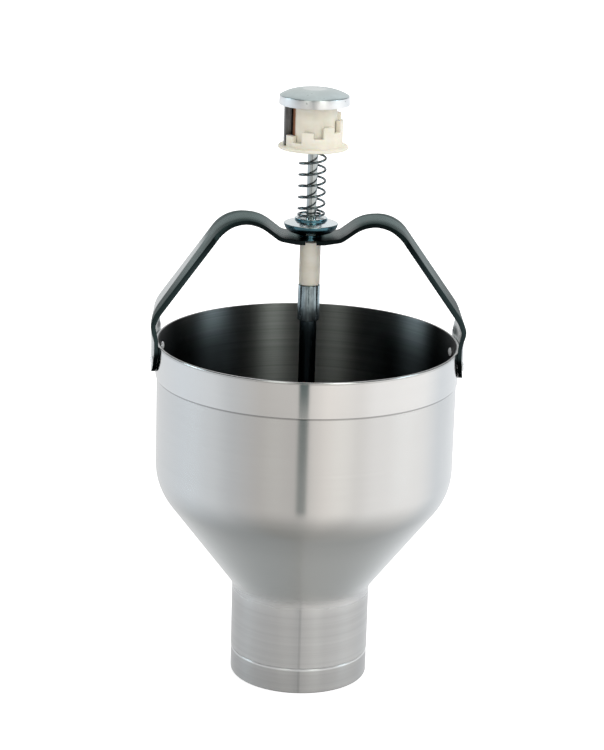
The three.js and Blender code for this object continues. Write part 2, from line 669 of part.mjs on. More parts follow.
// The flange, its spring pocket and the crown: a stair of notches with a merlon on both sides of each.
function portionRing() {
  const pocketOuter = SPRING_POCKET_RADIUS + POCKET_WALL;
  const base = turned([
    corner(SPRING_POCKET_RADIUS, FLANGE_BOTTOM),
    corner(FLANGE_RADIUS - FLANGE_BEVEL, FLANGE_BOTTOM),
    corner(FLANGE_RADIUS, FLANGE_BOTTOM + FLANGE_BEVEL),
    corner(FLANGE_RADIUS, FLANGE_TOP, FLANGE_BEVEL),
    corner(pocketOuter, FLANGE_TOP),
    corner(pocketOuter, POCKET_TOP + POCKET_ROOF),
    corner(ROD_BORE_RADIUS, POCKET_TOP + POCKET_ROOF),
    corner(ROD_BORE_RADIUS, POCKET_TOP),
    corner(SPRING_POCKET_RADIUS, POCKET_TOP),
  ], true, MIDDLE_SIDES);
  const blocks = [];
  const merlonWidth = NOTCH_PITCH - NOTCH_WIDTH_ANGLE;
  for (let notch = 0; notch <= PORTION_NOTCHES; notch += 1) {
    const floor = Math.min(notch, PORTION_NOTCHES - 1) * PORTION_STEP;
    const centre = FIRST_NOTCH_ANGLE + notch * NOTCH_PITCH;
    const merlonEnd = centre - NOTCH_WIDTH_ANGLE / 2;
    blocks.push(crownBlock(merlonEnd - merlonWidth, merlonEnd, floor + MERLON_RISE));
    if (notch > 0 && notch < PORTION_NOTCHES) {
      const half = NOTCH_WIDTH_ANGLE / 2 + NOTCH_LAP_ANGLE;
      blocks.push(crownBlock(centre - half, centre + half, floor));
    }
  }
  return join(base, ...blocks);
}

function thumbCap() {
  const skirtTop = CAP_SKIRT_BOTTOM + CAP_SKIRT_HEIGHT;
  const shoulder = CAP_RADIUS - CAP_SKIRT_TAPER;
  const span = shoulder - CAP_FLAT_RADIUS;
  const domeRadius = (span ** 2 + CAP_DOME_HEIGHT ** 2) / (2 * CAP_DOME_HEIGHT);
  const domeHeight = (radius, wall) => {
    const reach = Math.max(radius - CAP_FLAT_RADIUS, 0);
    return CAP_TOP - domeRadius + Math.sqrt((domeRadius - wall) ** 2 - reach ** 2);
  };
  const innerSkirt = shoulder - CAP_WALL;
  const outside = [];
  const inside = [];
  for (let step = 0; step < CAP_DOME_STEPS; step += 1) {
    const share = step / CAP_DOME_STEPS;
    const outerRadius = THREE.MathUtils.lerp(CAP_FLAT_RADIUS, shoulder, share);
    outside.push(corner(outerRadius, domeHeight(outerRadius, 0)));
    const innerRadius = THREE.MathUtils.lerp(innerSkirt, CAP_BOSS_RADIUS, share);
    inside.push(corner(innerRadius, domeHeight(innerRadius, CAP_WALL)));
  }
  return turned([
    corner(0, CAP_TOP),
    ...outside,
    corner(shoulder, skirtTop, CAP_EDGE_ROUND),
    corner(CAP_RADIUS, CAP_SKIRT_BOTTOM),
    corner(CAP_RADIUS - CAP_WALL, CAP_SKIRT_BOTTOM),
    ...inside,
    corner(CAP_BOSS_RADIUS, domeHeight(CAP_BOSS_RADIUS, CAP_WALL)),
    corner(CAP_BOSS_RADIUS, FINGER_TOP + SEAT_GAP),
    corner(ROD_RADIUS + SEAT_GAP, FINGER_TOP + SEAT_GAP),
    corner(ROD_RADIUS + SEAT_GAP, CAP_TOP - CAP_ROOF),
    corner(0, CAP_TOP - CAP_ROOF),
  ], false, MIDDLE_SIDES);
}

function capSleeve() {
  const innerRadius = SLEEVE_RADIUS - SLEEVE_WALL;
  return turned([
    corner(innerRadius, SLEEVE_BOTTOM),
    corner(SLEEVE_RADIUS, SLEEVE_BOTTOM),
    corner(SLEEVE_RADIUS, SLEEVE_TOP),
    corner(ROD_BORE_RADIUS, SLEEVE_TOP),
    corner(ROD_BORE_RADIUS, SLEEVE_TOP - SLEEVE_WEB),
    corner(innerRadius, SLEEVE_TOP - SLEEVE_WEB),
  ], true, MIDDLE_SIDES);
}

// The tab runs along X from an eye round the rod and bends down into the leg.
function stopFinger() {
  const legInner = FINGER_OUTER_RADIUS - FINGER_LEG_THICKNESS;
  const outline = new THREE.Shape(roundedOutline([
    corner(0, FINGER_TOP - FINGER_THICKNESS),
    corner(legInner, FINGER_TOP - FINGER_THICKNESS),
    corner(legInner, FINGER_BOTTOM),
    corner(FINGER_OUTER_RADIUS, FINGER_BOTTOM),
    corner(FINGER_OUTER_RADIUS, FINGER_TOP, FINGER_BEND_ROUND),
    corner(0, FINGER_TOP),
  ], false));
  const strip = new THREE.ExtrudeGeometry(outline, { depth: FINGER_WIDTH, bevelEnabled: false });
  strip.rotateX(Math.PI / 2).translate(0, FINGER_WIDTH / 2, 0);
  const eye = new THREE.CylinderGeometry(
    FINGER_EYE_RADIUS, FINGER_EYE_RADIUS, FINGER_THICKNESS, MIDDLE_SIDES);
  eye.rotateX(Math.PI / 2).translate(0, 0, FINGER_TOP - FINGER_THICKNESS / 2);
  const bore = new THREE.CylinderGeometry(ROD_BORE_RADIUS, ROD_BORE_RADIUS, 2 * FINGER_TOP, SMALL_SIDES);
  bore.rotateX(Math.PI / 2);
  return cut(join(strip, eye), bore);
}

function hexNut(bottom) {
  const shape = new THREE.Shape();
  const corners = NUT_ACROSS_FLATS / 2 / Math.cos(Math.PI / 6);
  for (let side = 0; side < 6; side += 1) {
    const turn = side / 6 * 2 * Math.PI;
    if (side === 0) shape.moveTo(corners, 0);
    else shape.lineTo(corners * Math.cos(turn), corners * Math.sin(turn));
  }
  shape.closePath();
  const hole = new THREE.Path();
  hole.absarc(0, 0, ROD_RADIUS + SEAT_GAP, 0, 2 * Math.PI, true);
  shape.holes.push(hole);
  const nut = new THREE.ExtrudeGeometry(shape, {
    depth: NUT_THICKNESS,
    bevelEnabled: false,
    curveSegments: SMALL_SIDES,
  });
  return tidy(nut.translate(0, 0, bottom));
}

function rod() {
  return turned([
    corner(0, ROD_BOTTOM),
    corner(ROD_RADIUS - ROD_END_CHAMFER, ROD_BOTTOM),
    corner(ROD_RADIUS, ROD_BOTTOM + ROD_END_CHAMFER),
    corner(ROD_RADIUS, ROD_TOP - ROD_END_CHAMFER),
    corner(ROD_RADIUS - ROD_END_CHAMFER, ROD_TOP),
    corner(0, ROD_TOP),
  ], false, SMALL_SIDES);
}

function piston() {
  const middle = PISTON_BOTTOM + PISTON_THICKNESS / 2;
  const floor = PISTON_RADIUS - PISTON_GROOVE_DEPTH;
  return turned([
    corner(ROD_BORE_RADIUS, PISTON_BOTTOM),
    corner(PISTON_RADIUS - PISTON_CHAMFER, PISTON_BOTTOM),
    corner(PISTON_RADIUS, PISTON_BOTTOM + PISTON_CHAMFER),
    corner(PISTON_RADIUS, middle - PISTON_GROOVE_WIDTH / 2),
    corner(floor, middle - PISTON_GROOVE_WIDTH / 2),
    corner(floor, middle + PISTON_GROOVE_WIDTH / 2),
    corner(PISTON_RADIUS, middle + PISTON_GROOVE_WIDTH / 2),
    corner(PISTON_RADIUS, PISTON_TOP - PISTON_CHAMFER),
    corner(PISTON_RADIUS - PISTON_CHAMFER, PISTON_TOP),
    corner(ROD_BORE_RADIUS, PISTON_TOP),
  ], true, LARGE_SIDES);
}

function pistonSeal() {
  const middle = PISTON_BOTTOM + PISTON_THICKNESS / 2;
  const half = PISTON_GROOVE_WIDTH / 2 - SEAT_GAP;
  const floor = PISTON_RADIUS - PISTON_GROOVE_DEPTH + SEAT_GAP;
  const edge = CHAMBER_RADIUS - SEAL_SIDE_GAP;
  return tube(floor, edge, edge, middle - half, middle + half, half / 2, LARGE_SIDES);
}

function valveGasket() {
  return turned([
    corner(VALVE_RADIUS - GASKET_WIDTH, GASKET_BOTTOM),
    corner(VALVE_RADIUS, GASKET_BOTTOM),
    corner(VALVE_RADIUS, GASKET_TOP),
    corner(VALVE_RADIUS - GASKET_WIDTH, GASKET_TOP),
  ], true, LARGE_SIDES);
}

const dispenser = new THREE.Group();

function add(name, geometry, finish, azimuth = 0, height = 0) {
  const mesh = new THREE.Mesh(geometry, new THREE.MeshStandardMaterial(finish));
  mesh.name = name;
  mesh.rotation.z = azimuth;
  mesh.position.z = height;
  dispenser.add(mesh);
}

add('hopper_bowl', hopperBowl(), STEEL);
add('rim_band', rimBand(), STEEL);
add('foot_ring', footRing(), STEEL);
add('handle_strap', handleStrap(), DARK_STEEL);
const rivetPlaces = {
  right_front: -RIVET_ANGLE,
  right_back: RIVET_ANGLE,
  left_front: Math.PI + RIVET_ANGLE,
  left_back: Math.PI - RIVET_ANGLE,
};
for (const [place, azimuth] of Object.entries(rivetPlaces)) {
  add(`rivet_${place}`, rivet(), CHROME, azimuth, RIVET_HEIGHT);
}

add('spring_seat', springSeat(), CHROME);
add('return_spring', returnSpring(), CHROME);
add('portion_ring', portionRing(), NYLON);

add('thumb_cap', thumbCap(), CAST_METAL);
add('cap_sleeve', capSleeve(), NYLON);
add('stop_finger', stopFinger(), STEEL, FIRST_NOTCH_ANGLE);
add('cap_nut', hexNut(SLEEVE_TOP - SLEEVE_WEB - SEAT_GAP - NUT_THICKNESS), STEEL);
add('rod', rod(), CHROME);
add('stop_tube', tube(ROD_BORE_RADIUS, STOP_TUBE_RADIUS, STOP_TUBE_RADIUS,
  STOP_TUBE_BOTTOM, STOP_TUBE_TOP, STOP_TUBE_CHAMFER, MIDDLE_SIDES), NYLON);
add('coupling_collar', tube(ROD_BORE_RADIUS, COLLAR_BOTTOM_RADIUS, COLLAR_TOP_RADIUS,
  COLLAR_BOTTOM, COLLAR_TOP, COLLAR_CHAMFER, MIDDLE_SIDES), CAST_METAL);
add('plunger_tube', tube(ROD_BORE_RADIUS, PLUNGER_TUBE_RADIUS, PLUNGER_TUBE_RADIUS,
  PISTON_TOP + SEAT_GAP, COLLAR_BOTTOM - SEAT_GAP, COLLAR_CHAMFER, SMALL_SIDES), DARK_STEEL);
add('piston', piston(), NYLON);
add('piston_seal', pistonSeal(), RUBBER);
add('spacer_tube', tube(ROD_BORE_RADIUS, PLUNGER_TUBE_RADIUS, PLUNGER_TUBE_RADIUS,
  VALVE_TOP + SEAT_GAP, PISTON_BOTTOM - SEAT_GAP, COLLAR_CHAMFER, SMALL_SIDES), DARK_STEEL);
add('valve_gasket', valveGasket(), RUBBER);
add('valve_disc', tube(ROD_BORE_RADIUS, VALVE_RADIUS, VALVE_RADIUS,
  VALVE_BOTTOM, VALVE_TOP, VALVE_CHAMFER, LARGE_SIDES), STEEL);
add('valve_washer', tube(ROD_BORE_RADIUS, WASHER_RADIUS, WASHER_RADIUS,
  WASHER_TOP - WASHER_THICKNESS, WASHER_TOP, VALVE_CHAMFER, SMALL_SIDES), STEEL);
add('valve_nut', hexNut(VALVE_NUT_TOP - NUT_THICKNESS), STEEL);

export default dispenser;
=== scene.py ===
"""A hand-held batter dispenser, dressed over its CAD frame.

The pieces are turned, bent and drawn with Blender's own modelling operators from sizes in millimetres,
and every finish is a node material. Lengths in the file are millimetres; Blender works in metres.
"""
import json
import math

import bmesh
import bpy
from bpy.props import FloatProperty, FloatVectorProperty, IntProperty, PointerProperty
from mathutils import Matrix, Vector


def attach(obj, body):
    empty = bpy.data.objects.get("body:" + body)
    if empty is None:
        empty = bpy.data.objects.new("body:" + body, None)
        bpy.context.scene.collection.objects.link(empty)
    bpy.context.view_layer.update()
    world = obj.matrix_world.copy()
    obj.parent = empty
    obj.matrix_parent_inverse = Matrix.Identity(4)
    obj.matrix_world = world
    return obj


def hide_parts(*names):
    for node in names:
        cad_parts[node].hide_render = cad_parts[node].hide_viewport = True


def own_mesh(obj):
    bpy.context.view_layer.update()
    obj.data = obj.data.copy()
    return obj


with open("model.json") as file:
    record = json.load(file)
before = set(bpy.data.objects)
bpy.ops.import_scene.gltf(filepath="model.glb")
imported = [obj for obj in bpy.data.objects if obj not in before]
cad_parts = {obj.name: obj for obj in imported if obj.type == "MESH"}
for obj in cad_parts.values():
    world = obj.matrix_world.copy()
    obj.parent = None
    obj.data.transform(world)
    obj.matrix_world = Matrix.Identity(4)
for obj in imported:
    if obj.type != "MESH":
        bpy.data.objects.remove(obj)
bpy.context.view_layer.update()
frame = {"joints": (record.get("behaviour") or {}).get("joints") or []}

bl_info = {
    "name": "Batter dispenser",
    "version": (1, 0, 0),
    "blender": (4, 5, 0),
    "location": "3D View > Sidebar > Dispenser",
    "description": "Builds the pieces of a batter dispenser and the studio it stands in",
    "category": "Object",
}

MM = 0.001
FULL_TURN = 2 * math.pi
ZINC = (0.58, 0.58, 0.60)

# Places nearer than this, in metres, count as the same.
TOUCH = MM / 100

# Gaps beside pieces that stay together, and beside pieces that slide.
SEAT_GAP = 0.3
RUNNING_GAP = 0.4

# Hopper, rim band and foot.
RIM_HEIGHT = 280.6
BODY_RADIUS = 119.7
HOPPER_WALL = 1.2
SPOUT_RADIUS = 56
NECK_HEIGHT = 77.6
CONE_ANGLE = math.radians(52.95)
SHOULDER_FILLET = 48.7
NECK_FILLET = 16
LIP_THICKNESS = 1.6
LIP_BOTTOM = RIM_HEIGHT - LIP_THICKNESS
BAND_WALL = 0.8
BAND_DEPTH = 26.7
BAND_INNER = BODY_RADIUS + SEAT_GAP
BAND_OUTER = BAND_INNER + BAND_WALL
BAND_TOP = LIP_BOTTOM - SEAT_GAP
BAND_BOTTOM = BAND_TOP - BAND_DEPTH
FOOT_HEIGHT = 21.5
FOOT_RADIUS = 55.8
SPIGOT_RADIUS = SPOUT_RADIUS - HOPPER_WALL - SEAT_GAP
CHAMBER_RADIUS = 48.5
CHAMBER_TOP = 60
VALVE_SHOULDER = 16
VALVE_RECESS = 51.6

# Handle.
STRAP_THICKNESS = 3.2
STRAP_HEIGHT = 365.5
# The arms thicken inwards from this far out, and this far up, each over a length.
ARM_THICKNESS = 4.2
ARM_OUT = (62, 16)
ARM_UP = (288, 14)
EAR_RADIUS = BAND_OUTER + SEAT_GAP + STRAP_THICKNESS
MIDDLE_HALF_WIDTH = 17.2
CREST_HALF_WIDTH = 19.2
EAR_HALF_WIDTH = 30
TAPER_LENGTH = 30
EAR_TOP = RIM_HEIGHT + 2.4
EAR_BOTTOM = 253.5
EAR_END = 26
CURL_LENGTH = 18
SLOT_LENGTH = 24
RIVET_HEIGHT = 268
RIVET_ANGLE = (EAR_HALF_WIDTH - 8) / EAR_RADIUS
RIVET_SHANK = 2.2
RIVET_HEAD = 3.6
RIVET_RISE = 1.7
RIVETS = {
    "right_front": -RIVET_ANGLE,
    "right_back": RIVET_ANGLE,
    "left_front": math.pi + RIVET_ANGLE,
    "left_back": math.pi - RIVET_ANGLE,
}

# Plunger, from the rod out.
ROD_RADIUS = 4
ROD_BORE = ROD_RADIUS + RUNNING_GAP
ROD_HOLE = ROD_RADIUS + SEAT_GAP
ROD_BOTTOM = 2.8
ROD_TOP = 479.2
SEAT_BOTTOM = STRAP_HEIGHT + SEAT_GAP
SEAT_TOP = SEAT_BOTTOM + 15.5
SEAT_SPIGOT = 6.8
SPRING_RADIUS = 10.15
SPRING_PITCH = 8.95
SPRING_END_RISE = 2.15
# The wire is drawn a little thicker than it is, so that its highlight shows.
WIRE_RADIUS = 0.8
DRAWN_WIRE_RADIUS = 0.95
FLANGE_TOP = 438.5
FLANGE_BOTTOM = 436.1
FLANGE_RADIUS = 27.5
POCKET_TOP = 450.1
CROWN_INNER = 18.6
CROWN_OUTER = 22.8
SLEEVE_RADIUS = 18
SLEEVE_BOTTOM = 438.8
SLEEVE_TOP = 473.7
CAP_TOP = 482.5
CAP_RADIUS = 27.6

# The stair of notches in the portion ring's crown: angles in degrees, heights in millimetres.
NOTCH_PITCH = 45
NOTCH_WIDTH = 21
FIRST_NOTCH = -171
NOTCH_COUNT = 6
NOTCH_STEP = 4
MERLON_RISE = 4.8


# ---------------------------------------------------------------------------------------------------
# Materials


def both_ways(operation):
    """A sum of a wire with what stands after it, and its reflected form."""

    def forward(self, other):
        return self.sum(operation, self, other)

    def reflected(self, other):
        return self.sum(operation, other, self)

    return forward, reflected


class Wire:
    """One output of a node. Sums written with wires add their Math nodes."""

    def __init__(self, recipe, socket):
        self.recipe = recipe
        self.socket = socket

    def sum(self, operation, *terms):
        return self.recipe.node("ShaderNodeMath", {"operation": operation}, dict(enumerate(terms)))

    __add__, __radd__ = both_ways("ADD")
    __sub__, __rsub__ = both_ways("SUBTRACT")
    __mul__, __rmul__ = both_ways("MULTIPLY")
    __truediv__, __rtruediv__ = both_ways("DIVIDE")
    __pow__, __rpow__ = both_ways("POWER")

    def __abs__(self):
        return self.sum("ABSOLUTE", self)

    def over(self, other):
        """The larger of two."""
        return self.sum("MAXIMUM", self, other)


class Recipe:
    """The node tree of one finish, or of the world."""

    def __init__(self, tree):
        self.tree = tree
        tree.nodes.clear()

    def node(self, kind, settings=None, sockets=None, output=0):
        """Adds a node, sets it up, fills its sockets with numbers or wires and gives one of its outputs."""
        made = self.tree.nodes.new(kind)
        for name, value in (settings or {}).items():
            if name == "stops":
                self.set_stops(made.color_ramp, value)
            else:
                setattr(made, name, value)
        for name, value in (sockets or {}).items():
            if isinstance(value, Wire):
                self.tree.links.new(value.socket, made.inputs[name])
            else:
                made.inputs[name].default_value = value
        return Wire(self, made.outputs[output]) if made.outputs else None

    @staticmethod
    def set_stops(ramp, stops):
        while len(ramp.elements) < len(stops):
            ramp.elements.new(1.0)
        for element, (place, colour) in zip(ramp.elements, stops):
            element.position = place
            element.color = (*colour, 1.0)

    def place(self):
        """The point on the piece, in metres."""
        return self.node("ShaderNodeTexCoord", output="Object")

    def facing(self):
        """The way the surface faces, as three parts."""
        return self.split(self.node("ShaderNodeNewGeometry", output="Normal"))

    def ray(self, kind):
        """1 on rays of one kind."""
        return self.node("ShaderNodeLightPath", output=f"Is {kind} Ray")

    def split(self, vector):
        return [self.node("ShaderNodeSeparateXYZ", {}, {0: vector}, axis) for axis in "XYZ"]

    def noise(self, vector, scale, detail, roughness):
        sockets = {"Vector": vector, "Scale": scale, "Detail": detail, "Roughness": roughness}
        return self.node("ShaderNodeTexNoise", {"normalize": True}, sockets, "Fac")

    def grain(self, spot, scales, detail, roughness):
        """Noise of a scale of its own along each axis."""
        parts = {axis: part * scale for axis, part, scale in zip("XYZ", spot, scales)}
        return self.noise(self.node("ShaderNodeCombineXYZ", {}, parts), 1.0, detail, roughness)

    def spread(self, value, low, high, to_low=0.0, to_high=1.0):
        """Stretches a value from one range to another, and holds it there."""
        sockets = {"Value": value, "From Min": low, "From Max": high, "To Min": to_low, "To Max": to_high}
        settings = {"interpolation_type": "SMOOTHSTEP", "clamp": True}
        return self.node("ShaderNodeMapRange", settings, sockets)

    def fade(self, value, low, high, top=1.0):
        """Falls from the top to nothing over a range."""
        return self.spread(value, low, high, top, 0.0)

    def tint(self, factor, first, second):
        """Mixes two colours by a factor."""
        first, second = (colour if isinstance(colour, Wire) else (*colour, 1.0) for colour in (first, second))
        settings = {"data_type": "RGBA", "blend_type": "MIX", "clamp_factor": True}
        return self.node("ShaderNodeMix", settings, {0: factor, 6: first, 7: second}, 2)

    def vary(self, factor, colour, low, high):
        """Mixes two strengths of one colour."""
        return self.tint(factor, scaled(colour, low), scaled(colour, high))

    def bump(self, height, strength, distance):
        sockets = {"Height": height, "Strength": strength, "Distance": distance}
        return self.node("ShaderNodeBump", {}, sockets, "Normal")


def finish(name, sockets, fill):
    """A material: constant sockets on the shader itself, and what varies from the fill function."""
    material = bpy.data.materials.new(name)
    material.use_nodes = True
    recipe = Recipe(material.node_tree)
    shader = recipe.node("ShaderNodeBsdfPrincipled", {}, {**sockets, **fill(recipe)}, "BSDF")
    recipe.node("ShaderNodeOutputMaterial", {}, {"Surface": shader})
    return material


def scaled(colour, amount):
    return tuple(channel * amount for channel in colour)


def turned_steel(name, colour, roughness, grain=1.0, grip=0.9, pitch=1.6, inside=None, spout=1.0, seam=None,
                 lip=None):
    """Sheet spun or turned on a lathe: fine lines round the upright axis, with broader bands between them.
    The cone is paler. The spout is rougher and less metallic, and a spout share under 1 darkens its colour
    with painted shade; a faint dark line down its front is a painted reflection. Given an inside tone, the
    faces that look at the axis are that much darker with painted shade, and rougher, with painted dark
    reflections at the sides. Along a seam, given by its height, runs a dark line of painted shadow, and at a
    lip, given by its height, there is a painted highlight."""

    def fill(recipe):
        x, y, z = recipe.split(recipe.place())
        radius = (x * x + y * y) ** 0.5
        along = z + radius * 0.6
        lines = recipe.grain((x, y, along), (4, 4, 1000 / pitch), 2.0, 0.6)
        bands = recipe.grain((x, y, along), (4, 4, 250 / pitch), 2.0, 0.5)
        hands = recipe.noise(recipe.place(), 21.0, 3.0, 0.55)
        tone = recipe.spread(lines * 0.65 + bands * 0.35, 0.3, 0.7)
        shade = recipe.vary(tone, colour, 1 - 0.03 * grain, 1 + 0.015 * grain)
        shade = recipe.tint(0.5, shade, recipe.vary(recipe.spread(hands, 0.35, 0.75), colour, 0.97, 1))
        cone = recipe.fade(z, 120 * MM, 160 * MM)
        shade = recipe.tint(cone, shade, scaled(colour, 1.15))
        low = recipe.fade(z, 64 * MM, 90 * MM)
        worked = recipe.spread(lines * 0.4 + bands * 0.6, 0.35, 0.65)
        # Painted shade: a spout share under 1 darkens the spout's colour.
        shade = recipe.tint(low, shade, recipe.vary(worked, colour, spout * 0.95, spout * 1.05))
        # Painted reflection: a faint dark line down the front of the spout.
        painted_slit_line = recipe.fade(abs(x + 0.9 * MM), 0.4 * MM, 1.5 * MM, 0.22) * recipe.fade(y, -10 * MM, 0)
        shade = recipe.tint(painted_slit_line * low, shade, scaled(colour, 0.2))
        if seam:
            # Painted shadow: a dark line at the seam's height.
            painted_seam_shadow = recipe.fade(abs(z - seam * MM), 0.3 * MM, 1.1 * MM, 0.5)
            shade = recipe.tint(painted_seam_shadow, shade, scaled(colour, 0.2))
        if lip:
            # Painted highlight at the lip.
            bright = recipe.spread(z, (lip - 2.6) * MM, (lip - 1.2) * MM, 0.0, 0.7)
            shade = recipe.tint(bright, shade, (0.9, 0.9, 0.9))
        rough = roughness + (lines - 0.5) * (0.02 * grain) + (hands - 0.5) * 0.04 + low * 0.10
        if inside:
            face_x, face_y, _ = recipe.facing()
            inward = recipe.fade((x * face_x + y * face_y) / radius, -0.3, 0.1)
            # Painted shade: faces that look at the axis take the darker inside tone.
            painted_inside_shade = recipe.vary(tone, colour, inside * 0.85, inside * 1.15)
            across = abs(x)
            # Painted dark reflections at the sides of the inside, and towards its ends.
            painted_side_reflection = recipe.spread(across, 45 * MM, 75 * MM) * recipe.fade(z, 246 * MM, 284 * MM, 0.9)
            ends = recipe.spread(across, 96 * MM, 108 * MM, 0.0, 0.85)
            painted_inside_shade = recipe.tint(painted_side_reflection, painted_inside_shade, scaled(colour, 0.03))
            painted_inside_shade = recipe.tint(ends, painted_inside_shade, scaled(colour, 0.02))
            shade = recipe.tint(inward, shade, painted_inside_shade)
            rough = rough + inward * 0.22
        return {"Base Color": shade, "Roughness": rough, "Metallic": low * -0.65 + 1,
                "Normal": recipe.bump(bands, 0.02 * grain, 0.06 * MM)}

    return finish(name, {"Anisotropic": grip, "Anisotropic Rotation": 0.25}, fill)


def brushed_strap(name, colour, side_shade_colour, roughness):
    """Strap brushed along its length, so the lines run from ear to ear. Painted shade darkens it towards the
    ears, which have a painted highlight where they lie on the band, and towards the front and back edges of
    its middle, and beside its slot. Its cut sides and its underside are dark with painted shade, a painted
    highlight lies in the dip beside the seat, and one stretch of its back edge has a painted highlight."""

    def fill(recipe):
        x, y, z = recipe.split(recipe.place())
        face_x, side, up = recipe.facing()
        side, across = abs(side), abs(x)
        black = scaled(side_shade_colour, 0.1)
        lines = recipe.grain((x, y, z), (6, 1100, 6), 3.0, 0.6)
        wide = recipe.grain((x, y, z), (5, 160, 5), 2.0, 0.5)
        cloud = recipe.noise(recipe.place(), 34.0, 3.0, 0.6)
        tone = recipe.spread(lines * 0.5 + wide * 0.3 + cloud * 0.2, 0.36, 0.66)
        shade = recipe.vary(tone, colour, 0.8, 1.15)
        # Painted shade: darker towards the ears.
        shade = recipe.tint(recipe.fade(z, 314 * MM, 350 * MM, 0.82), shade, black)
        arch = recipe.fade(across, 70 * MM, 95 * MM)
        # Painted shade towards the front and back edges of the middle.
        edges = recipe.fade(y, -18 * MM, 0, 0.85) + recipe.spread(y, 10 * MM, 18 * MM, 0.0, 0.5)
        shade = recipe.tint(edges * arch, shade, black)
        # Painted highlight in the dip beside the seat.
        dip = recipe.spread(across, 12 * MM, 20 * MM) * recipe.fade(across, 28 * MM, 42 * MM)
        shade = recipe.tint(dip * 0.45, shade, (0.66, 0.60, 0.60))
        # Painted shadow beside the slot, under the seat.
        shade = recipe.tint(recipe.fade(across, 9 * MM, 12 * MM, 0.9), shade, black)
        # Painted highlight along one stretch of the left arm's back edge.
        left = recipe.fade(x, -92 * MM, -78 * MM)
        painted_edge_highlight = left * recipe.spread(y - (z - 330 * MM) * 0.25, 0, 3 * MM)
        # Painted highlight on the ears where they lie on the band, higher up on their inner faces.
        inward = recipe.fade(x * face_x, -0.06, 0)
        ear = recipe.fade(z - inward * (25 * MM), 284 * MM, 290 * MM)
        bright = painted_edge_highlight.over(ear)
        shade = recipe.tint(bright, shade, (1.0, 1.0, 1.0))
        # Painted shade on the cut sides, black across the middle, and black on the underside.
        cut = recipe.tint(arch * 0.8, side_shade_colour, black)
        shade = recipe.tint(recipe.spread(side, 0.15, 0.60), shade, cut)
        shade = recipe.tint(recipe.fade(up, -0.30, -0.08), shade, black)
        return {"Base Color": shade,
                "Roughness": roughness + (lines - 0.5) * 0.22 + (cloud - 0.5) * 0.16,
                "Coat Weight": bright * recipe.fade(side, 0.15, 0.60),
                "Normal": recipe.bump(lines + wide, 0.16, 0.08 * MM)}

    sockets = {"Metallic": 1.0, "Specular Tint": (0.35, 0.39, 0.385, 1.0), "Coat Roughness": 0.15}
    return finish(name, sockets, fill)


def plating(name, colour, roughness, metallic=1.0, top=None):
    """Polished plate with faint swirls of handling. Given a top colour, level faces that look up have it as a
    painted highlight, and those that look down are dark with painted shade."""

    def fill(recipe):
        place = recipe.place()
        cloud = recipe.noise(place, 70.0, 4.0, 0.6)
        fine = recipe.noise(place, 900.0, 2.0, 0.5)
        shade = recipe.vary(recipe.spread(cloud, 0.3, 0.7), colour, 0.9, 1.04)
        if top:
            up = recipe.facing()[2]
            # Painted shade on faces that look down, and a painted highlight on level faces on top.
            shade = recipe.tint(recipe.spread(up, -0.1, -0.6), shade, scaled(colour, 0.35))
            shade = recipe.tint(recipe.spread(up, 0.45, 0.75), shade, top)
        return {"Base Color": shade,
                "Roughness": roughness + (cloud - 0.5) * 0.08 + (fine - 0.5) * 0.05,
                "Normal": recipe.bump(cloud + fine * 0.2, 0.02, 0.2 * MM)}

    return finish(name, {"Metallic": metallic}, fill)


def drawn_metal(name, colour, roughness, grip):
    """Tube drawn along the upright axis, with streaks down its length."""

    def fill(recipe):
        spot = recipe.split(recipe.place())
        streaks = recipe.grain(spot, (700, 700, 14), 3.0, 0.6)
        scuffs = recipe.grain(spot, (260, 260, 90), 3.0, 0.65)
        tone = recipe.spread(streaks * 0.6 + scuffs * 0.4, 0.35, 0.65)
        return {"Base Color": recipe.vary(tone, colour, 0.5, 1.35),
                "Roughness": roughness + (streaks - 0.5) * 0.2,
                "Normal": recipe.bump(streaks + scuffs * 0.5, 0.2, 0.1 * MM)}

    return finish(name, {"Metallic": 1.0, "Anisotropic": grip}, fill)


def tumbled_metal(name, colour, roughness):
    """Cast metal tumbled to a satin, with small dints and dark specks, and with a painted highlight on its flat
    and its skirt.
    """

    def fill(recipe):
        place = recipe.place()
        grit = recipe.noise(place, 650.0, 3.0, 0.6)
        cloud = recipe.noise(place, 60.0, 4.0, 0.6)
        specks = recipe.spread(recipe.noise(place, 240.0, 1.0, 0.4), 0.70, 0.76)
        shade = recipe.vary(recipe.spread(cloud, 0.3, 0.7), colour, 0.9, 1.05)
        x, y, _ = recipe.split(place)
        up = recipe.facing()[2]
        # Painted highlight on the level flat at the top, and on the upright skirt.
        crown = recipe.fade((x * x + y * y) ** 0.5, 8 * MM, 10.5 * MM) * recipe.spread(up, 0.8, 0.9)
        skirt = recipe.fade(up, 0.15, 0.55)
        shade = recipe.tint(crown * 0.4 + skirt * 0.97, shade, (1.0, 1.0, 1.0))
        return {"Base Color": recipe.tint(specks * 0.5, shade, scaled(colour, 0.5)),
                "Roughness": roughness + (grit - 0.5) * 0.16 + (cloud - 0.5) * 0.1,
                "Normal": recipe.bump(grit + cloud * 2, 0.12, 0.12 * MM)}

    return finish(name, {"Metallic": 1.0}, fill)


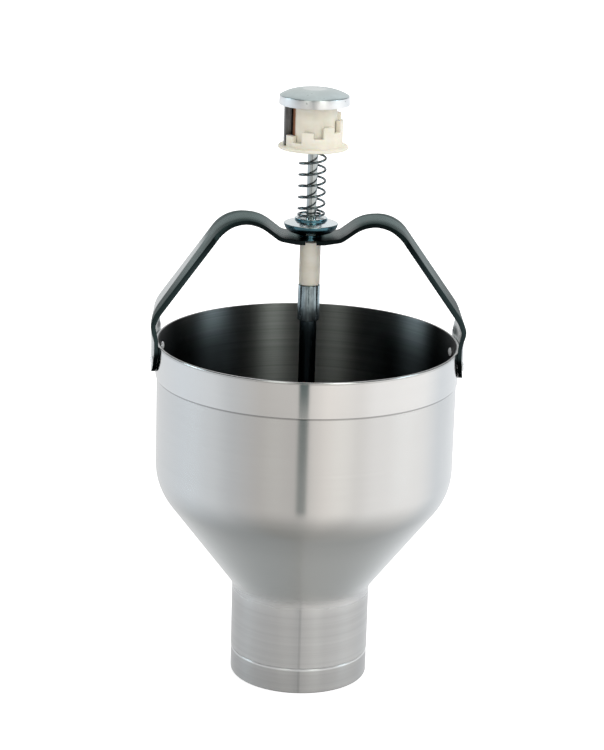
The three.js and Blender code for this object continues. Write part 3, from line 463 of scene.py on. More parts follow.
def moulded_nylon(name, colour, roughness=0.42, painted_shade_edge=None, painted_shadow_edge=None):
    """Ivory nylon, a little clear, with faint flow marks from the mould. Left of the shade edge, given by its
    place across the piece, it is browned with painted shade, and left of the shadow edge it is black with
    painted shadow."""

    def fill(recipe):
        x, y, z = recipe.split(recipe.place())
        flow = recipe.grain((x, y, z), (60, 60, 150), 3.0, 0.5)
        grain = recipe.noise(recipe.place(), 900.0, 2.0, 0.5)
        warm = [channel * part for channel, part in zip(colour, (0.93, 0.9207, 0.8835))]
        shade = recipe.tint(recipe.spread(flow, 0.3, 0.7), warm, colour)
        if painted_shade_edge:
            # Painted shade browns it left of one edge, and painted shadow blackens it left of the other.
            shade = recipe.tint(recipe.fade(x, painted_shade_edge * MM, (painted_shade_edge + 1.1) * MM), shade, (0.26, 0.10, 0.04))
            shade = recipe.tint(recipe.fade(x, painted_shadow_edge * MM, (painted_shadow_edge + 0.8) * MM), shade, (0.01, 0.008, 0.006))
        return {"Base Color": shade,
                "Roughness": roughness + (grain - 0.5) * 0.14 + (flow - 0.5) * 0.08,
                "Normal": recipe.bump(grain * 0.4 + flow, 0.05, 0.2 * MM)}

    sockets = {
        "Subsurface Weight": 0.35,
        "Subsurface Radius": (0.0030, 0.0022, 0.0014),
        "Subsurface Scale": 1.0,
        "IOR": 1.53,
    }
    return finish(name, sockets, fill)


def seal_rubber(name):
    """Matt black rubber with a bloom."""

    def fill(recipe):
        bloom = recipe.noise(recipe.place(), 120.0, 4.0, 0.6)
        return {"Base Color": recipe.vary(recipe.spread(bloom, 0.4, 0.8), (0.03, 0.03, 0.033), 1, 1.7),
                "Roughness": 0.72 + (bloom - 0.5) * 0.25,
                "Normal": recipe.bump(bloom, 0.08, 0.2 * MM)}

    return finish(name, {}, fill)


# ---------------------------------------------------------------------------------------------------
# Modelling


def leave_edit_mode():
    if bpy.context.object and bpy.context.object.mode != "OBJECT":
        bpy.ops.object.mode_set(mode="OBJECT")


def alone(piece):
    """Selects one object and makes it active."""
    leave_edit_mode()
    bpy.ops.object.select_all(action="DESELECT")
    piece.select_set(True)
    bpy.context.view_layer.objects.active = piece
    return piece


def start(name, primitive, **options):
    """Adds a primitive with nothing else selected, puts its place into its mesh and opens it for editing."""
    leave_edit_mode()
    bpy.ops.object.select_all(action="DESELECT")
    primitive(**options)
    piece = bpy.context.object
    piece.name = piece.data.name = name
    bpy.ops.object.transform_apply(location=True, rotation=True, scale=True)
    bpy.ops.object.mode_set(mode="EDIT")
    bpy.ops.mesh.select_mode(type="VERT")
    bpy.ops.mesh.select_all(action="SELECT")
    return piece


def add(name, primitive, **options):
    """Adds a primitive in the same way, and leaves it closed."""
    piece = start(name, primitive, **options)
    leave_edit_mode()
    return piece


def reopen(piece):
    alone(piece)
    bpy.ops.object.mode_set(mode="EDIT")


def face_outwards():
    """Turns every face of the open piece outwards and closes it."""
    bpy.ops.mesh.select_all(action="SELECT")
    bpy.ops.mesh.normals_make_consistent(inside=False)
    leave_edit_mode()


def extrude(across, up):
    """Extrudes what is selected by a step in millimetres."""
    bpy.ops.mesh.extrude_region_move(TRANSFORM_OT_translate={"value": (across * MM, 0, up * MM)})


def pick(piece, kind, test):
    """Selects the vertices, edges or faces that pass a test, and nothing else."""
    bpy.ops.mesh.select_mode(type={"verts": "VERT", "edges": "EDGE", "faces": "FACE"}[kind])
    bpy.ops.mesh.select_all(action="DESELECT")
    mesh = bmesh.from_edit_mesh(piece.data)
    found = [element for element in getattr(mesh, kind) if test(element)]
    if not found:
        raise RuntimeError(f"{piece.name}: no {kind} were found to select")
    for element in found:
        element.select_set(True)
    bmesh.update_edit_mesh(piece.data)


def apply_modifier(piece, kind, **settings):
    """Adds a modifier, sets it and applies it."""
    alone(piece)
    modifier = piece.modifiers.new(kind.title(), kind)
    for name, value in settings.items():
        setattr(modifier, name, value)
    bpy.ops.object.modifier_apply(modifier=modifier.name)


def soften(piece, width, segments=2, angle=50):
    """Rounds the edges where the surface turns by more than an angle."""
    apply_modifier(piece, "BEVEL", width=width * MM, segments=segments, limit_method="ANGLE",
                   angle_limit=math.radians(angle), use_clamp_overlap=True)


def rounded(corners, closed):
    """Replaces each corner (x, y, round) by an arc of that radius, tangent to both of its sides."""
    points = []
    count = len(corners)
    for index, (x, y, radius) in enumerate(corners):
        is_end = not closed and index in (0, count - 1)
        if not radius or is_end:
            points.append(Vector((x, y)))
            continue
        here = Vector((x, y))
        before = (Vector(corners[index - 1][:2]) - here).normalized()
        after = (Vector(corners[(index + 1) % count][:2]) - here).normalized()
        inside = before.angle(after)
        swing = math.pi - inside
        centre = here + (before + after).normalized() * (radius / math.sin(inside / 2))
        first = here + before * radius * math.tan(swing / 2) - centre
        last = here + after * radius * math.tan(swing / 2) - centre
        way = math.copysign(1, first.x * last.y - first.y * last.x)
        # Large rounds have a step every 4 degrees, and small ones every 12.
        steps = max(3, round(swing / math.radians(4 if radius > 5 else 12)))
        for step in range(steps + 1):
            points.append(centre + Matrix.Rotation(way * swing * step / steps, 2) @ first)
    return points


def turn(name, corners, sides=128):
    """Turns an outline of (radius, height, round) corners about the upright axis. An outline that starts and
    ends on the axis is closed by it; any other is closed by a side from its last corner to its first."""
    on_axis = corners[0][0] == 0 and corners[-1][0] == 0
    points = rounded(corners, not on_axis)
    place = (points[0].x * MM, 0, points[0].y * MM)
    piece = start(name, bpy.ops.mesh.primitive_circle_add, vertices=3, radius=MM, location=place)
    bpy.ops.mesh.merge(type="CENTER")
    for here, there in zip(points, points[1:]):
        step = ((there.x - here.x) * MM, 0, (there.y - here.y) * MM)
        bpy.ops.mesh.extrude_vertices_move(TRANSFORM_OT_translate={"value": step})
    if not on_axis:
        pick(piece, "verts", lambda vertex: len(vertex.link_edges) == 1)
        bpy.ops.mesh.edge_face_add()
    bpy.ops.mesh.select_all(action="SELECT")
    bpy.ops.mesh.spin(steps=sides, angle=FULL_TURN, center=(0, 0, 0), axis=(0, 0, 1), use_auto_merge=True)
    bpy.ops.mesh.select_all(action="SELECT")
    bpy.ops.mesh.remove_doubles(threshold=MM / 1000)
    bpy.ops.mesh.dissolve_degenerate(threshold=MM / 1000)
    face_outwards()
    return piece


def raised(height):
    return Matrix.Translation((0, 0, height * MM))


def laid(angle):
    """A quarter turn that lays an upright piece along a bearing, at the height of the rivets."""
    return Matrix.Rotation(angle, 4, "Z") @ raised(RIVET_HEIGHT) @ Matrix.Rotation(math.pi / 2, 4, "Y")


def place_piece(piece, way):
    """Moves a piece's mesh and leaves its object at the origin."""
    alone(piece)
    piece.matrix_world = way
    bpy.ops.object.transform_apply(location=True, rotation=True, scale=True)


def cut_out(piece, cutter, operation="DIFFERENCE"):
    """Cuts one piece by another, or joins them, and deletes the other."""
    apply_modifier(piece, "BOOLEAN", object=cutter, operation=operation, solver="EXACT")
    bpy.data.objects.remove(cutter)


def drill(piece, radius, way, sides=32):
    """Cuts a round hole, 24 mm long, with a cutter that is upright at the origin before it is moved."""
    cutter = add("round_cutter", bpy.ops.mesh.primitive_cylinder_add, vertices=sides, radius=radius * MM,
                 depth=24 * MM)
    place_piece(cutter, way)
    cut_out(piece, cutter)


def settle(piece, body, slot, material, node, smooth=35):
    """Smooths a finished piece, gives it its material and lets it ride on its body in place of its CAD node."""
    alone(piece)
    bpy.ops.object.shade_smooth_by_angle(angle=math.radians(smooth))
    piece.data.materials.clear()
    piece.data.materials.append(material)
    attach(piece, body)
    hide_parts(node)


# ---------------------------------------------------------------------------------------------------
# Sizes and colours that a user would change


def colour_property(name, description, default):
    return FloatVectorProperty(name=name, description=description, subtype="COLOR", size=3, min=0, max=1,
                               default=default)


def share_property(name, description, default):
    return FloatProperty(name=name, description=description, subtype="FACTOR", min=0, max=1, default=default)


class DispenserHopperSettings(bpy.types.PropertyGroup):
    """The hopper, its rim band and its foot."""

    colour: colour_property("Steel", "Colour of the hopper's steel", (0.745, 0.74, 0.73))
    band_colour: colour_property("Band", "Colour of the rim band's steel", (0.80, 0.795, 0.785))
    roughness: share_property("Roughness", "Roughness of the spun steel", 0.2)
    # The inside tone is painted shade on the hopper's inner faces.
    inside: share_property("Inside", "How bright the inside is beside the outside", 0.32)
    sides: IntProperty(name="Sides", description="Facets round the hopper", min=48, max=256, default=160)


class DispenserHandleSettings(bpy.types.PropertyGroup):
    """The strap and its rivets."""

    colour: colour_property("Strap", "Colour of the strap", (0.31, 0.36, 0.355))
    # The sides' colour is painted shade for the strap's cut sides.
    side_shade_colour: colour_property("Sides", "Colour of the strap's cut sides", (0.035, 0.055, 0.058))
    roughness: share_property("Roughness", "Roughness of the strap", 0.28)
    edge: FloatProperty(name="Edge round", description="Round on the strap's edges, in millimetres", min=0.1,
                        max=1.5, default=1.4)
    # Shown near white and mostly matt on the rivets, as a painted glint.
    rivet_colour: colour_property("Rivets", "Colour of the rivets", (0.95, 0.96, 0.97))


class DispenserPlungerSettings(bpy.types.PropertyGroup):
    """The plunger, the spring and the portion ring."""

    cap_colour: colour_property("Cap", "Colour of the thumb cap", (0.63, 0.70, 0.69))
    nylon_colour: colour_property("Nylon", "Colour of the nylon pieces", (0.91, 0.87, 0.76))
    rod_colour: colour_property("Rod", "Colour of the rod", (0.52, 0.56, 0.56))
    # The seat's dark teal is partly its own tone and partly painted dark reflection.
    seat_colour: colour_property("Seat", "Colour of the spring seat", (0.09, 0.21, 0.26))
    collar_colour: colour_property("Collar", "Colour of the coupling collar", (0.36, 0.44, 0.47))
    # The tube's near-black is painted dark reflection of the hopper's inside.
    tube_colour: colour_property("Tube", "Colour of the plunger tube", (0.05, 0.07, 0.08))
    finger_colour: colour_property("Finger", "Colour of the stop finger", (0.12, 0.12, 0.12))
    wire_steps: IntProperty(name="Steps a turn", description="Steps in each turn of the spring", min=16,
                            max=96, default=48)


class DispenserStageSettings(bpy.types.PropertyGroup):
    """The studio."""

    backdrop: share_property("Backdrop", "Whiteness of the floor and the backdrop", 1.0)
    brightness: FloatProperty(name="Brightness", description="Strength of the plain light on matt pieces",
                              min=0, max=4, default=1.0)
    slit: FloatProperty(name="Slit", description="Width of the dark slit in front that gloss shows",
                        subtype="ANGLE", min=0, max=math.radians(30), default=math.radians(7.4))


SETTINGS = {
    "dispenser_hopper": DispenserHopperSettings,
    "dispenser_handle": DispenserHandleSettings,
    "dispenser_plunger": DispenserPlungerSettings,
    "dispenser_stage": DispenserStageSettings,
}


# ---------------------------------------------------------------------------------------------------
# Pieces of the hopper


class DISPENSER_OT_hopper(bpy.types.Operator):
    """Spin the hopper: spout, cone, cylinder and rolled lip from one sheet"""

    bl_idname = "dispenser.hopper"
    bl_label = "Hopper"

    def execute(self, context):
        settings = context.scene.dispenser_hopper
        rise = (BODY_RADIUS - SPOUT_RADIUS) * math.tan(CONE_ANGLE)
        shift = HOPPER_WALL * (1 / math.cos(CONE_ANGLE) - math.tan(CONE_ANGLE))
        bottom = FOOT_HEIGHT + SEAT_GAP
        hopper = turn("hopper_shell", [
            (SPOUT_RADIUS, bottom, 0.3),
            (SPOUT_RADIUS, NECK_HEIGHT, NECK_FILLET),
            (BODY_RADIUS, NECK_HEIGHT + rise, SHOULDER_FILLET),
            (BODY_RADIUS, LIP_BOTTOM, 0),
            (BAND_OUTER, LIP_BOTTOM, 0.2),
            (BAND_OUTER, RIM_HEIGHT, 0.7),
            (BODY_RADIUS - HOPPER_WALL, RIM_HEIGHT, 0.7),
            (BODY_RADIUS - HOPPER_WALL, NECK_HEIGHT + rise + shift, SHOULDER_FILLET - HOPPER_WALL),
            (SPOUT_RADIUS - HOPPER_WALL, NECK_HEIGHT + shift, NECK_FILLET + HOPPER_WALL),
            (SPOUT_RADIUS - HOPPER_WALL, bottom, 0),
        ], settings.sides)
        # Painted shade: the spout share of 0.68 darkens the spout, and the seam under the band gets a line of
        # painted shadow.
        steel = turned_steel("spun_steel", settings.colour, settings.roughness, inside=settings.inside,
                             spout=0.68, seam=BAND_BOTTOM - 0.5)
        settle(hopper, "hopper", "hopper", steel, "hopper_bowl")
        return {"FINISHED"}


class DISPENSER_OT_rim_band(bpy.types.Operator):
    """Turn the hoop that stiffens the hopper under its lip"""

    bl_idname = "dispenser.rim_band"
    bl_label = "Rim band"

    def execute(self, context):
        settings = context.scene.dispenser_hopper
        # Drawn a little high, so that the dark line under the lip stays fine.
        top = BAND_TOP + 0.25
        band = turn("rim_hoop", [
            (BAND_INNER, BAND_BOTTOM, 0),
            (BAND_OUTER, BAND_BOTTOM, 0.7),
            (BAND_OUTER, top, 0),
            (BAND_INNER, top, 0),
        ], settings.sides)
        steel = turned_steel("band_steel", settings.band_colour, settings.roughness * 0.75, grain=0.8)
        settle(band, "hopper", "band", steel, "rim_band")
        return {"FINISHED"}


class DISPENSER_OT_foot(bpy.types.Operator):
    """Turn the foot ring, with the portion chamber as its bore"""

    bl_idname = "dispenser.foot"
    bl_label = "Foot ring"

    def execute(self, context):
        settings = context.scene.dispenser_hopper
        chamfer = 2
        foot = turn("foot_turning", [
            (VALVE_RECESS, 0, 0),
            (FOOT_RADIUS, 0, 1.8),
            (FOOT_RADIUS, FOOT_HEIGHT, 1.4),
            (SPIGOT_RADIUS, FOOT_HEIGHT, 0),
            (SPIGOT_RADIUS, CHAMBER_TOP, 0.4),
            (CHAMBER_RADIUS + chamfer, CHAMBER_TOP, 0.4),
            (CHAMBER_RADIUS, CHAMBER_TOP - chamfer, 0.4),
            (CHAMBER_RADIUS, VALVE_SHOULDER, 0.3),
            (VALVE_RECESS, VALVE_SHOULDER, 0),
        ], settings.sides)
        # Painted shade: the foot's colour is scaled to 0.59, and its lip gets a painted highlight.
        steel = turned_steel("foot_steel", scaled(settings.colour, 0.59), settings.roughness, grain=0.9,
                             lip=FOOT_HEIGHT)
        settle(foot, "hopper", "foot", steel, "foot_ring")
        return {"FINISHED"}


# ---------------------------------------------------------------------------------------------------
# Pieces of the handle


def share(value, start, length):
    """How far a value has come along a length, from 0 to 1."""
    return min(max((value - start) / length, 0), 1)


def strap_rows():
    """Places along half of the strap's outer face, from the middle to the tip of the right ear, each with the
    strap's half width there."""
    bend = EAR_RADIUS + 1.3
    path = rounded([
        (0, STRAP_HEIGHT, 0),
        (10.5, STRAP_HEIGHT, 12),
        (23, STRAP_HEIGHT + 2.3, 9),
        (bend - 67.46, STRAP_HEIGHT + 28.53, 31.6),
        (bend, RIM_HEIGHT + 19.3, 34),
        (EAR_RADIUS, EAR_TOP, 25),
        (EAR_RADIUS, EAR_BOTTOM + EAR_END, 0),
    ], False)
    along = [0.0]
    for here, there in zip(path, path[1:]):
        along.append(along[-1] + (there - here).length)
    crest = along[max(range(len(path)), key=lambda index: path[index].y)]
    rows = []
    for point, reach in zip(path, along):
        half = MIDDLE_HALF_WIDTH + (CREST_HALF_WIDTH - MIDDLE_HALF_WIDTH) * share(reach, 0, crest)
        half += (EAR_HALF_WIDTH - CREST_HALF_WIDTH) * share(reach, crest, TAPER_LENGTH)
        rows.append((point.x, point.y, half))
    steps = 14
    for step in reversed(range(steps)):
        angle = (step + 0.5) / steps * math.pi / 2
        inset = EAR_END * (1 - math.cos(angle))
        rows.append((EAR_RADIUS, EAR_BOTTOM + inset, EAR_HALF_WIDTH * math.sin(angle)))
    return rows


class DISPENSER_OT_strap(bpy.types.Operator):
    """Bend the handle's strap from ear to ear and open its slot"""

    bl_idname = "dispenser.strap"
    bl_label = "Strap handle"

    def execute(self, context):
        settings = context.scene.dispenser_handle
        strap = self.extrude_half(strap_rows())
        self.curl_ears(strap)
        apply_modifier(strap, "MIRROR", use_axis=(True, False, False), merge_threshold=MM / 100)
        apply_modifier(strap, "SOLIDIFY", thickness=ARM_THICKNESS * MM, offset=-1, use_even_offset=True,
                       vertex_group="stout", thickness_vertex_group=STRAP_THICKNESS / ARM_THICKNESS)
        soften(strap, settings.edge, 5)
        self.cut_slot(strap)
        for angle in sorted(RIVETS.values()):
            drill(strap, RIVET_SHANK + SEAT_GAP, laid(angle) @ raised(EAR_RADIUS), 24)
        soften(strap, 0.3)
        metal = brushed_strap("strap_metal", settings.colour, settings.side_shade_colour, settings.roughness)
        settle(strap, "hopper", "strap", metal, "handle_strap", 40)
        return {"FINISHED"}

    @staticmethod
    def extrude_half(rows):
        """Starts from one row of points across the strap and extrudes it from place to place."""
        x, z, half = rows[0]
        strap = start("strap_handle", bpy.ops.mesh.primitive_grid_add, x_subdivisions=1, y_subdivisions=12,
                      size=2 * half * MM, location=(x * MM, 0, z * MM))
        pick(strap, "verts", lambda vertex: vertex.co.x < 0)
        bpy.ops.mesh.delete(type="VERT")
        bpy.ops.mesh.select_all(action="SELECT")
        bpy.ops.transform.translate(value=(-half * MM, 0, 0))
        for (x0, z0, half0), (x1, z1, half1) in zip(rows, rows[1:]):
            extrude(x1 - x0, z1 - z0)
            bpy.ops.transform.resize(value=(1, half1 / half0, 1), center_override=(0, 0, 0))
        bpy.ops.mesh.select_all(action="SELECT")
        bpy.ops.mesh.normals_make_consistent(inside=False)
        mesh = bmesh.from_edit_mesh(strap.data)
        mesh.faces.ensure_lookup_table()
        if mesh.faces[0].normal.z < 0:
            bpy.ops.mesh.flip_normals()
        leave_edit_mode()
        return strap

    @staticmethod
    def curl_ears(strap):
        """Wraps the ears onto the hoop, more and more from above the rim down, and marks the arms, which are
        thicker than the ears and the middle."""
        curl, stout = (strap.vertex_groups.new(name=name) for name in ("curl", "stout"))
        for vertex in strap.data.vertices:
            x, z = vertex.co.x / MM, vertex.co.z / MM
            low = share(EAR_TOP + CURL_LENGTH - z, 0, CURL_LENGTH) if vertex.co.x > 100 * MM else 0
            curl.add([vertex.index], low * low * (3 - 2 * low), "REPLACE")
            stout.add([vertex.index], share(x, *ARM_OUT) * share(z, *ARM_UP), "REPLACE")
        drum = add("ear_drum", bpy.ops.mesh.primitive_cylinder_add, vertices=256, radius=EAR_RADIUS * MM,
                   depth=200 * MM, location=(0, 0, RIM_HEIGHT * MM))
        apply_modifier(strap, "SHRINKWRAP", target=drum, wrap_method="NEAREST_SURFACEPOINT",
                       vertex_group="curl")
        bpy.data.objects.remove(drum)

    @staticmethod
    def cut_slot(strap):
        """Bores the pocket for the seat and opens it to the front."""
        drill(strap, SEAT_SPIGOT + RUNNING_GAP, raised(STRAP_HEIGHT), 64)
        gap = add("slot_cutter", bpy.ops.mesh.primitive_cube_add, size=MM,
                  location=(0, -SLOT_LENGTH / 2 * MM, STRAP_HEIGHT * MM),
                  scale=(2 * ROD_BORE, SLOT_LENGTH, SLOT_LENGTH))
        cut_out(strap, gap)


class DISPENSER_OT_rivets(bpy.types.Operator):
    """Turn one rivet and set four copies through the ears, the band and the hopper"""

    bl_idname = "dispenser.rivets"
    bl_label = "Rivets"

    def execute(self, context):
        settings = context.scene.dispenser_handle
        inner = BODY_RADIUS - HOPPER_WALL - SEAT_GAP
        outer = EAR_RADIUS + SEAT_GAP
        steps = 8
        arc = [(RIVET_HEAD * math.cos(angle), RIVET_RISE * math.sin(angle))
               for angle in (math.pi / 2 * step / steps for step in range(steps))]
        pattern = turn("rivet_pattern", [
            (0, inner - RIVET_RISE, 0),
            *((radius, inner - rise, 0) for radius, rise in reversed(arc)),
            (RIVET_SHANK, inner, 0),
            (RIVET_SHANK, outer, 0),
            *((radius, outer + rise, 0) for radius, rise in arc),
            (0, outer + RIVET_RISE, 0),
        ], 32)
        # Mostly matt and near white, so that the rivet heads show bright as a painted glint.
        metal = plating("rivet_metal", settings.rivet_colour, 0.35, metallic=0.15)
        for side, angle in RIVETS.items():
            rivet = pattern.copy()
            rivet.data = pattern.data.copy()
            rivet.name = rivet.data.name = f"headed_rivet_{side}"
            context.collection.objects.link(rivet)
            place_piece(rivet, laid(angle))
            settle(rivet, "hopper", "rivet", metal, f"rivet_{side}")
        bpy.data.objects.remove(pattern)
        return {"FINISHED"}


# ---------------------------------------------------------------------------------------------------
# Pieces of the plunger


def turn_collar(name, node, slot, material, sizes, sides=128):
    """Turns a plain round piece of the plunger. Its sizes are the radius of its hole, its radius at the bottom
    and at the top, the heights of both, and the round on its outer edges."""
    hole, low, high, bottom, top, edge = sizes
    collar = turn(name, [(hole, bottom, 0), (low, bottom, edge), (high, top, edge), (hole, top, 0)], sides)
    settle(collar, "plunger", slot, material, node)


class DISPENSER_OT_seat(bpy.types.Operator):
    """Turn the bowl-bottomed seat that carries the spring"""

    bl_idname = "dispenser.seat"
    bl_label = "Spring seat"

    def execute(self, context):
        settings = context.scene.dispenser_plunger
        spigot_bottom = SEAT_BOTTOM - 2.6
        foot = SEAT_BOTTOM + 2.8
        edge = foot + 8.2
        foot_radius, bowl_radius, neck_radius = 9, 21.2, 12.8
        seat = turn("spring_cup", [
            (ROD_BORE, spigot_bottom, 0),
            (SEAT_SPIGOT, spigot_bottom, 0.3),
            (SEAT_SPIGOT, SEAT_BOTTOM, 0),
            (foot_radius, SEAT_BOTTOM, 0.3),
            (foot_radius, foot, 0.3),
            (foot_radius + 4, foot, 2.5),
            (bowl_radius, foot + 3, 7),
            (bowl_radius, edge, 1.1),
            (neck_radius, edge + 1.8, 0.3),
            (neck_radius, SEAT_TOP, 0.8),
            (ROD_BORE, SEAT_TOP, 0.4),
        ])
        # The top colour is a painted highlight on the seat's upper faces, and its underside gets painted shade.
        chrome = plating("seat_chrome", settings.seat_colour, 0.2, top=(0.80, 0.86, 0.87))
        settle(seat, "seat", "seat", chrome, "spring_seat")
        return {"FINISHED"}


class DISPENSER_OT_spring(bpy.types.Operator):
    """Wind the return spring, with a close turn at each end"""

    bl_idname = "dispenser.spring"
    bl_label = "Return spring"

    def execute(self, context):
        settings = context.scene.dispenser_plunger
        height = SEAT_TOP + SEAT_GAP + WIRE_RADIUS
        top = POCKET_TOP - SEAT_GAP - WIRE_RADIUS
        turns = (top - height - 2 * SPRING_END_RISE) / SPRING_PITCH
        angle = math.radians(45)
        windings = []
        for count, rise in ((1, SPRING_END_RISE), (turns, turns * SPRING_PITCH), (1, SPRING_END_RISE)):
            windings.append(self.wind(angle, height, count, rise, settings.wire_steps))
            angle += count * FULL_TURN
            height += rise
        spring = alone(windings[0])
        for winding in windings[1:]:
            winding.select_set(True)
        bpy.ops.object.join()
        reopen(spring)
        bpy.ops.mesh.select_all(action="SELECT")
        bpy.ops.mesh.remove_doubles(threshold=MM / 200)
        pick(spring, "edges", lambda edge: edge.is_boundary)
        bpy.ops.mesh.edge_face_add()
        face_outwards()
        wire = plating("spring_wire", (0.14, 0.17, 0.18), 0.2)
        settle(spring, "seat", "spring", wire, "return_spring", 60)
        low, high = next(joint["range_m"] for joint in frame["joints"] if joint["name"] == "plunger_press")
        pressed = high - low
        length = (POCKET_TOP - SEAT_GAP) * MM - SEAT_TOP * MM
        (length - pressed) / length
        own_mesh(spring)
        return {"FINISHED"}

    @staticmethod
    def wind(angle, height, turns, rise, steps):
        """One winding: a ring of wire carried round the axis while it rises."""
        ring = add("spring_coil", bpy.ops.mesh.primitive_circle_add, vertices=14, radius=DRAWN_WIRE_RADIUS * MM,
                   location=(SPRING_RADIUS * MM, 0, 0), rotation=(math.pi / 2, 0, 0))
        count = round(turns * steps)
        apply_modifier(ring, "SCREW", angle=turns * FULL_TURN, screw_offset=rise * MM, steps=count,
                       render_steps=count, iterations=1, axis="Z", use_merge_vertices=False,
                       use_smooth_shade=True)
        place_piece(ring, raised(height) @ Matrix.Rotation(angle, 4, "Z"))
        return ring


class DISPENSER_OT_portion_ring(bpy.types.Operator):
    """Turn the portion ring's flange and spring pocket, then raise its crown step by step"""

    bl_idname = "dispenser.portion_ring"
    bl_label = "Portion ring"

    def execute(self, context):
        settings = context.scene.dispenser_plunger
        wall = 2
        pocket = SPRING_RADIUS + WIRE_RADIUS + 2 * SEAT_GAP
        ring = turn("stepped_ring", [
            (pocket, FLANGE_BOTTOM, 0),
            (FLANGE_RADIUS, FLANGE_BOTTOM, 0.8),
            (FLANGE_RADIUS, FLANGE_TOP, 0.8),
            (CROWN_OUTER, FLANGE_TOP, 0),
            (CROWN_INNER, FLANGE_TOP, 0),
            (pocket + wall, FLANGE_TOP, 0),
            (pocket + wall, POCKET_TOP + wall, 0.4),
            (ROD_BORE, POCKET_TOP + wall, 0),
            (ROD_BORE, POCKET_TOP, 0),
            (pocket, POCKET_TOP, 0),
        ], 240)
        self.raise_crown(ring)
        soften(ring, 0.3)
        nylon = moulded_nylon("ring_nylon", settings.nylon_colour)
        settle(ring, "dial", "nylon", nylon, "portion_ring", 30)
        return {"FINISHED"}

    @staticmethod
    def crown_height(azimuth):
        """How high the crown stands above the flange, in millimetres, at an angle round the ring."""
        turned = (azimuth - FIRST_NOTCH + NOTCH_PITCH - NOTCH_WIDTH / 2) % 360
        notch, past = divmod(turned, NOTCH_PITCH)
        floor = min(notch, NOTCH_COUNT - 1) * NOTCH_STEP
        if past < NOTCH_PITCH - NOTCH_WIDTH:
            return floor + MERLON_RISE if notch <= NOTCH_COUNT else 0
        return floor if notch < NOTCH_COUNT else 0

    def raise_crown(self, ring):
        """Extrudes the crown's top faces level by level, each time those that go on rising."""
        levels = sorted({0.0, *(self.crown_height(step / 4) for step in range(4 * 360))})
        reopen(ring)
        for level, above in zip(levels, levels[1:]):
            shelf = (FLANGE_TOP + level) * MM

            def rises(face):
                centre = face.calc_center_median()
                reach = math.hypot(centre.x, centre.y) / MM
                azimuth = math.degrees(math.atan2(centre.y, centre.x))
                return (face.normal.z > 0.9 and abs(centre.z - shelf) < TOUCH
                        and CROWN_INNER < reach < CROWN_OUTER and self.crown_height(azimuth) > level + 0.01)

            pick(ring, "faces", rises)
            extrude(0, above - level)
        face_outwards()


class DISPENSER_OT_cap(bpy.types.Operator):
    """Turn the domed thumb cap"""

    bl_idname = "dispenser.cap"
    bl_label = "Thumb cap"

    def execute(self, context):
        settings = context.scene.dispenser_plunger
        wall, flat, shoulder, boss = 2.2, 9.3, CAP_RADIUS - 0.4, 8
        skirt_bottom, skirt_top, boss_bottom, socket_top = 470.5, 477.4, 476.3, CAP_TOP - 3
        drop = CAP_TOP - skirt_top
        dome = ((shoulder - flat) ** 2 + drop ** 2) / (2 * drop)
        steps = 14

        def height(radius, depth):
            reach = max(radius - flat, 0)
            return CAP_TOP - dome + math.sqrt((dome - depth) ** 2 - reach ** 2)

        outside = [flat + (shoulder - flat) * step / steps for step in range(steps)]
        inside = [shoulder - wall + (boss - shoulder + wall) * step / steps for step in range(steps + 1)]
        cap = turn("domed_cap", [
            (0, CAP_TOP, 0),
            *((radius, height(radius, 0), 0) for radius in outside),
            (shoulder, skirt_top, 0.9),
            (CAP_RADIUS, skirt_bottom, 0.3),
            (CAP_RADIUS - wall, skirt_bottom, 0),
            *((radius, height(radius, wall), 0) for radius in inside),
            (boss, boss_bottom, 0),
            (ROD_HOLE, boss_bottom, 0),
            (ROD_HOLE, socket_top, 0),
            (0, socket_top, 0),
        ])
        metal = tumbled_metal("cap_metal", settings.cap_colour, 0.34)
        settle(cap, "plunger", "cap", metal, "thumb_cap", 25)
        return {"FINISHED"}


class DISPENSER_OT_sleeve(bpy.types.Operator):
    """Turn the nylon sleeve under the thumb cap"""

    bl_idname = "dispenser.sleeve"
    bl_label = "Cap sleeve"

    def execute(self, context):
        settings = context.scene.dispenser_plunger
        inner, ceiling = SLEEVE_RADIUS - 3.5, SLEEVE_TOP - 3
        sleeve = turn("nylon_sleeve", [
            (inner, SLEEVE_BOTTOM, 0.3),
            (SLEEVE_RADIUS, SLEEVE_BOTTOM, 0.4),
            (SLEEVE_RADIUS, SLEEVE_TOP, 0.4),
            (ROD_BORE, SLEEVE_TOP, 0),
            (ROD_BORE, ceiling, 0),
            (inner, ceiling, 1),
        ])
        # Painted shade and a line of painted shadow down the sleeve's left side, beside the stop finger.
        nylon = moulded_nylon("sleeve_nylon", scaled(settings.nylon_colour, 0.97), 0.36, painted_shade_edge=-15.0,
                              painted_shadow_edge=-16.6)
        settle(sleeve, "plunger", "nylon", nylon, "cap_sleeve")
        return {"FINISHED"}


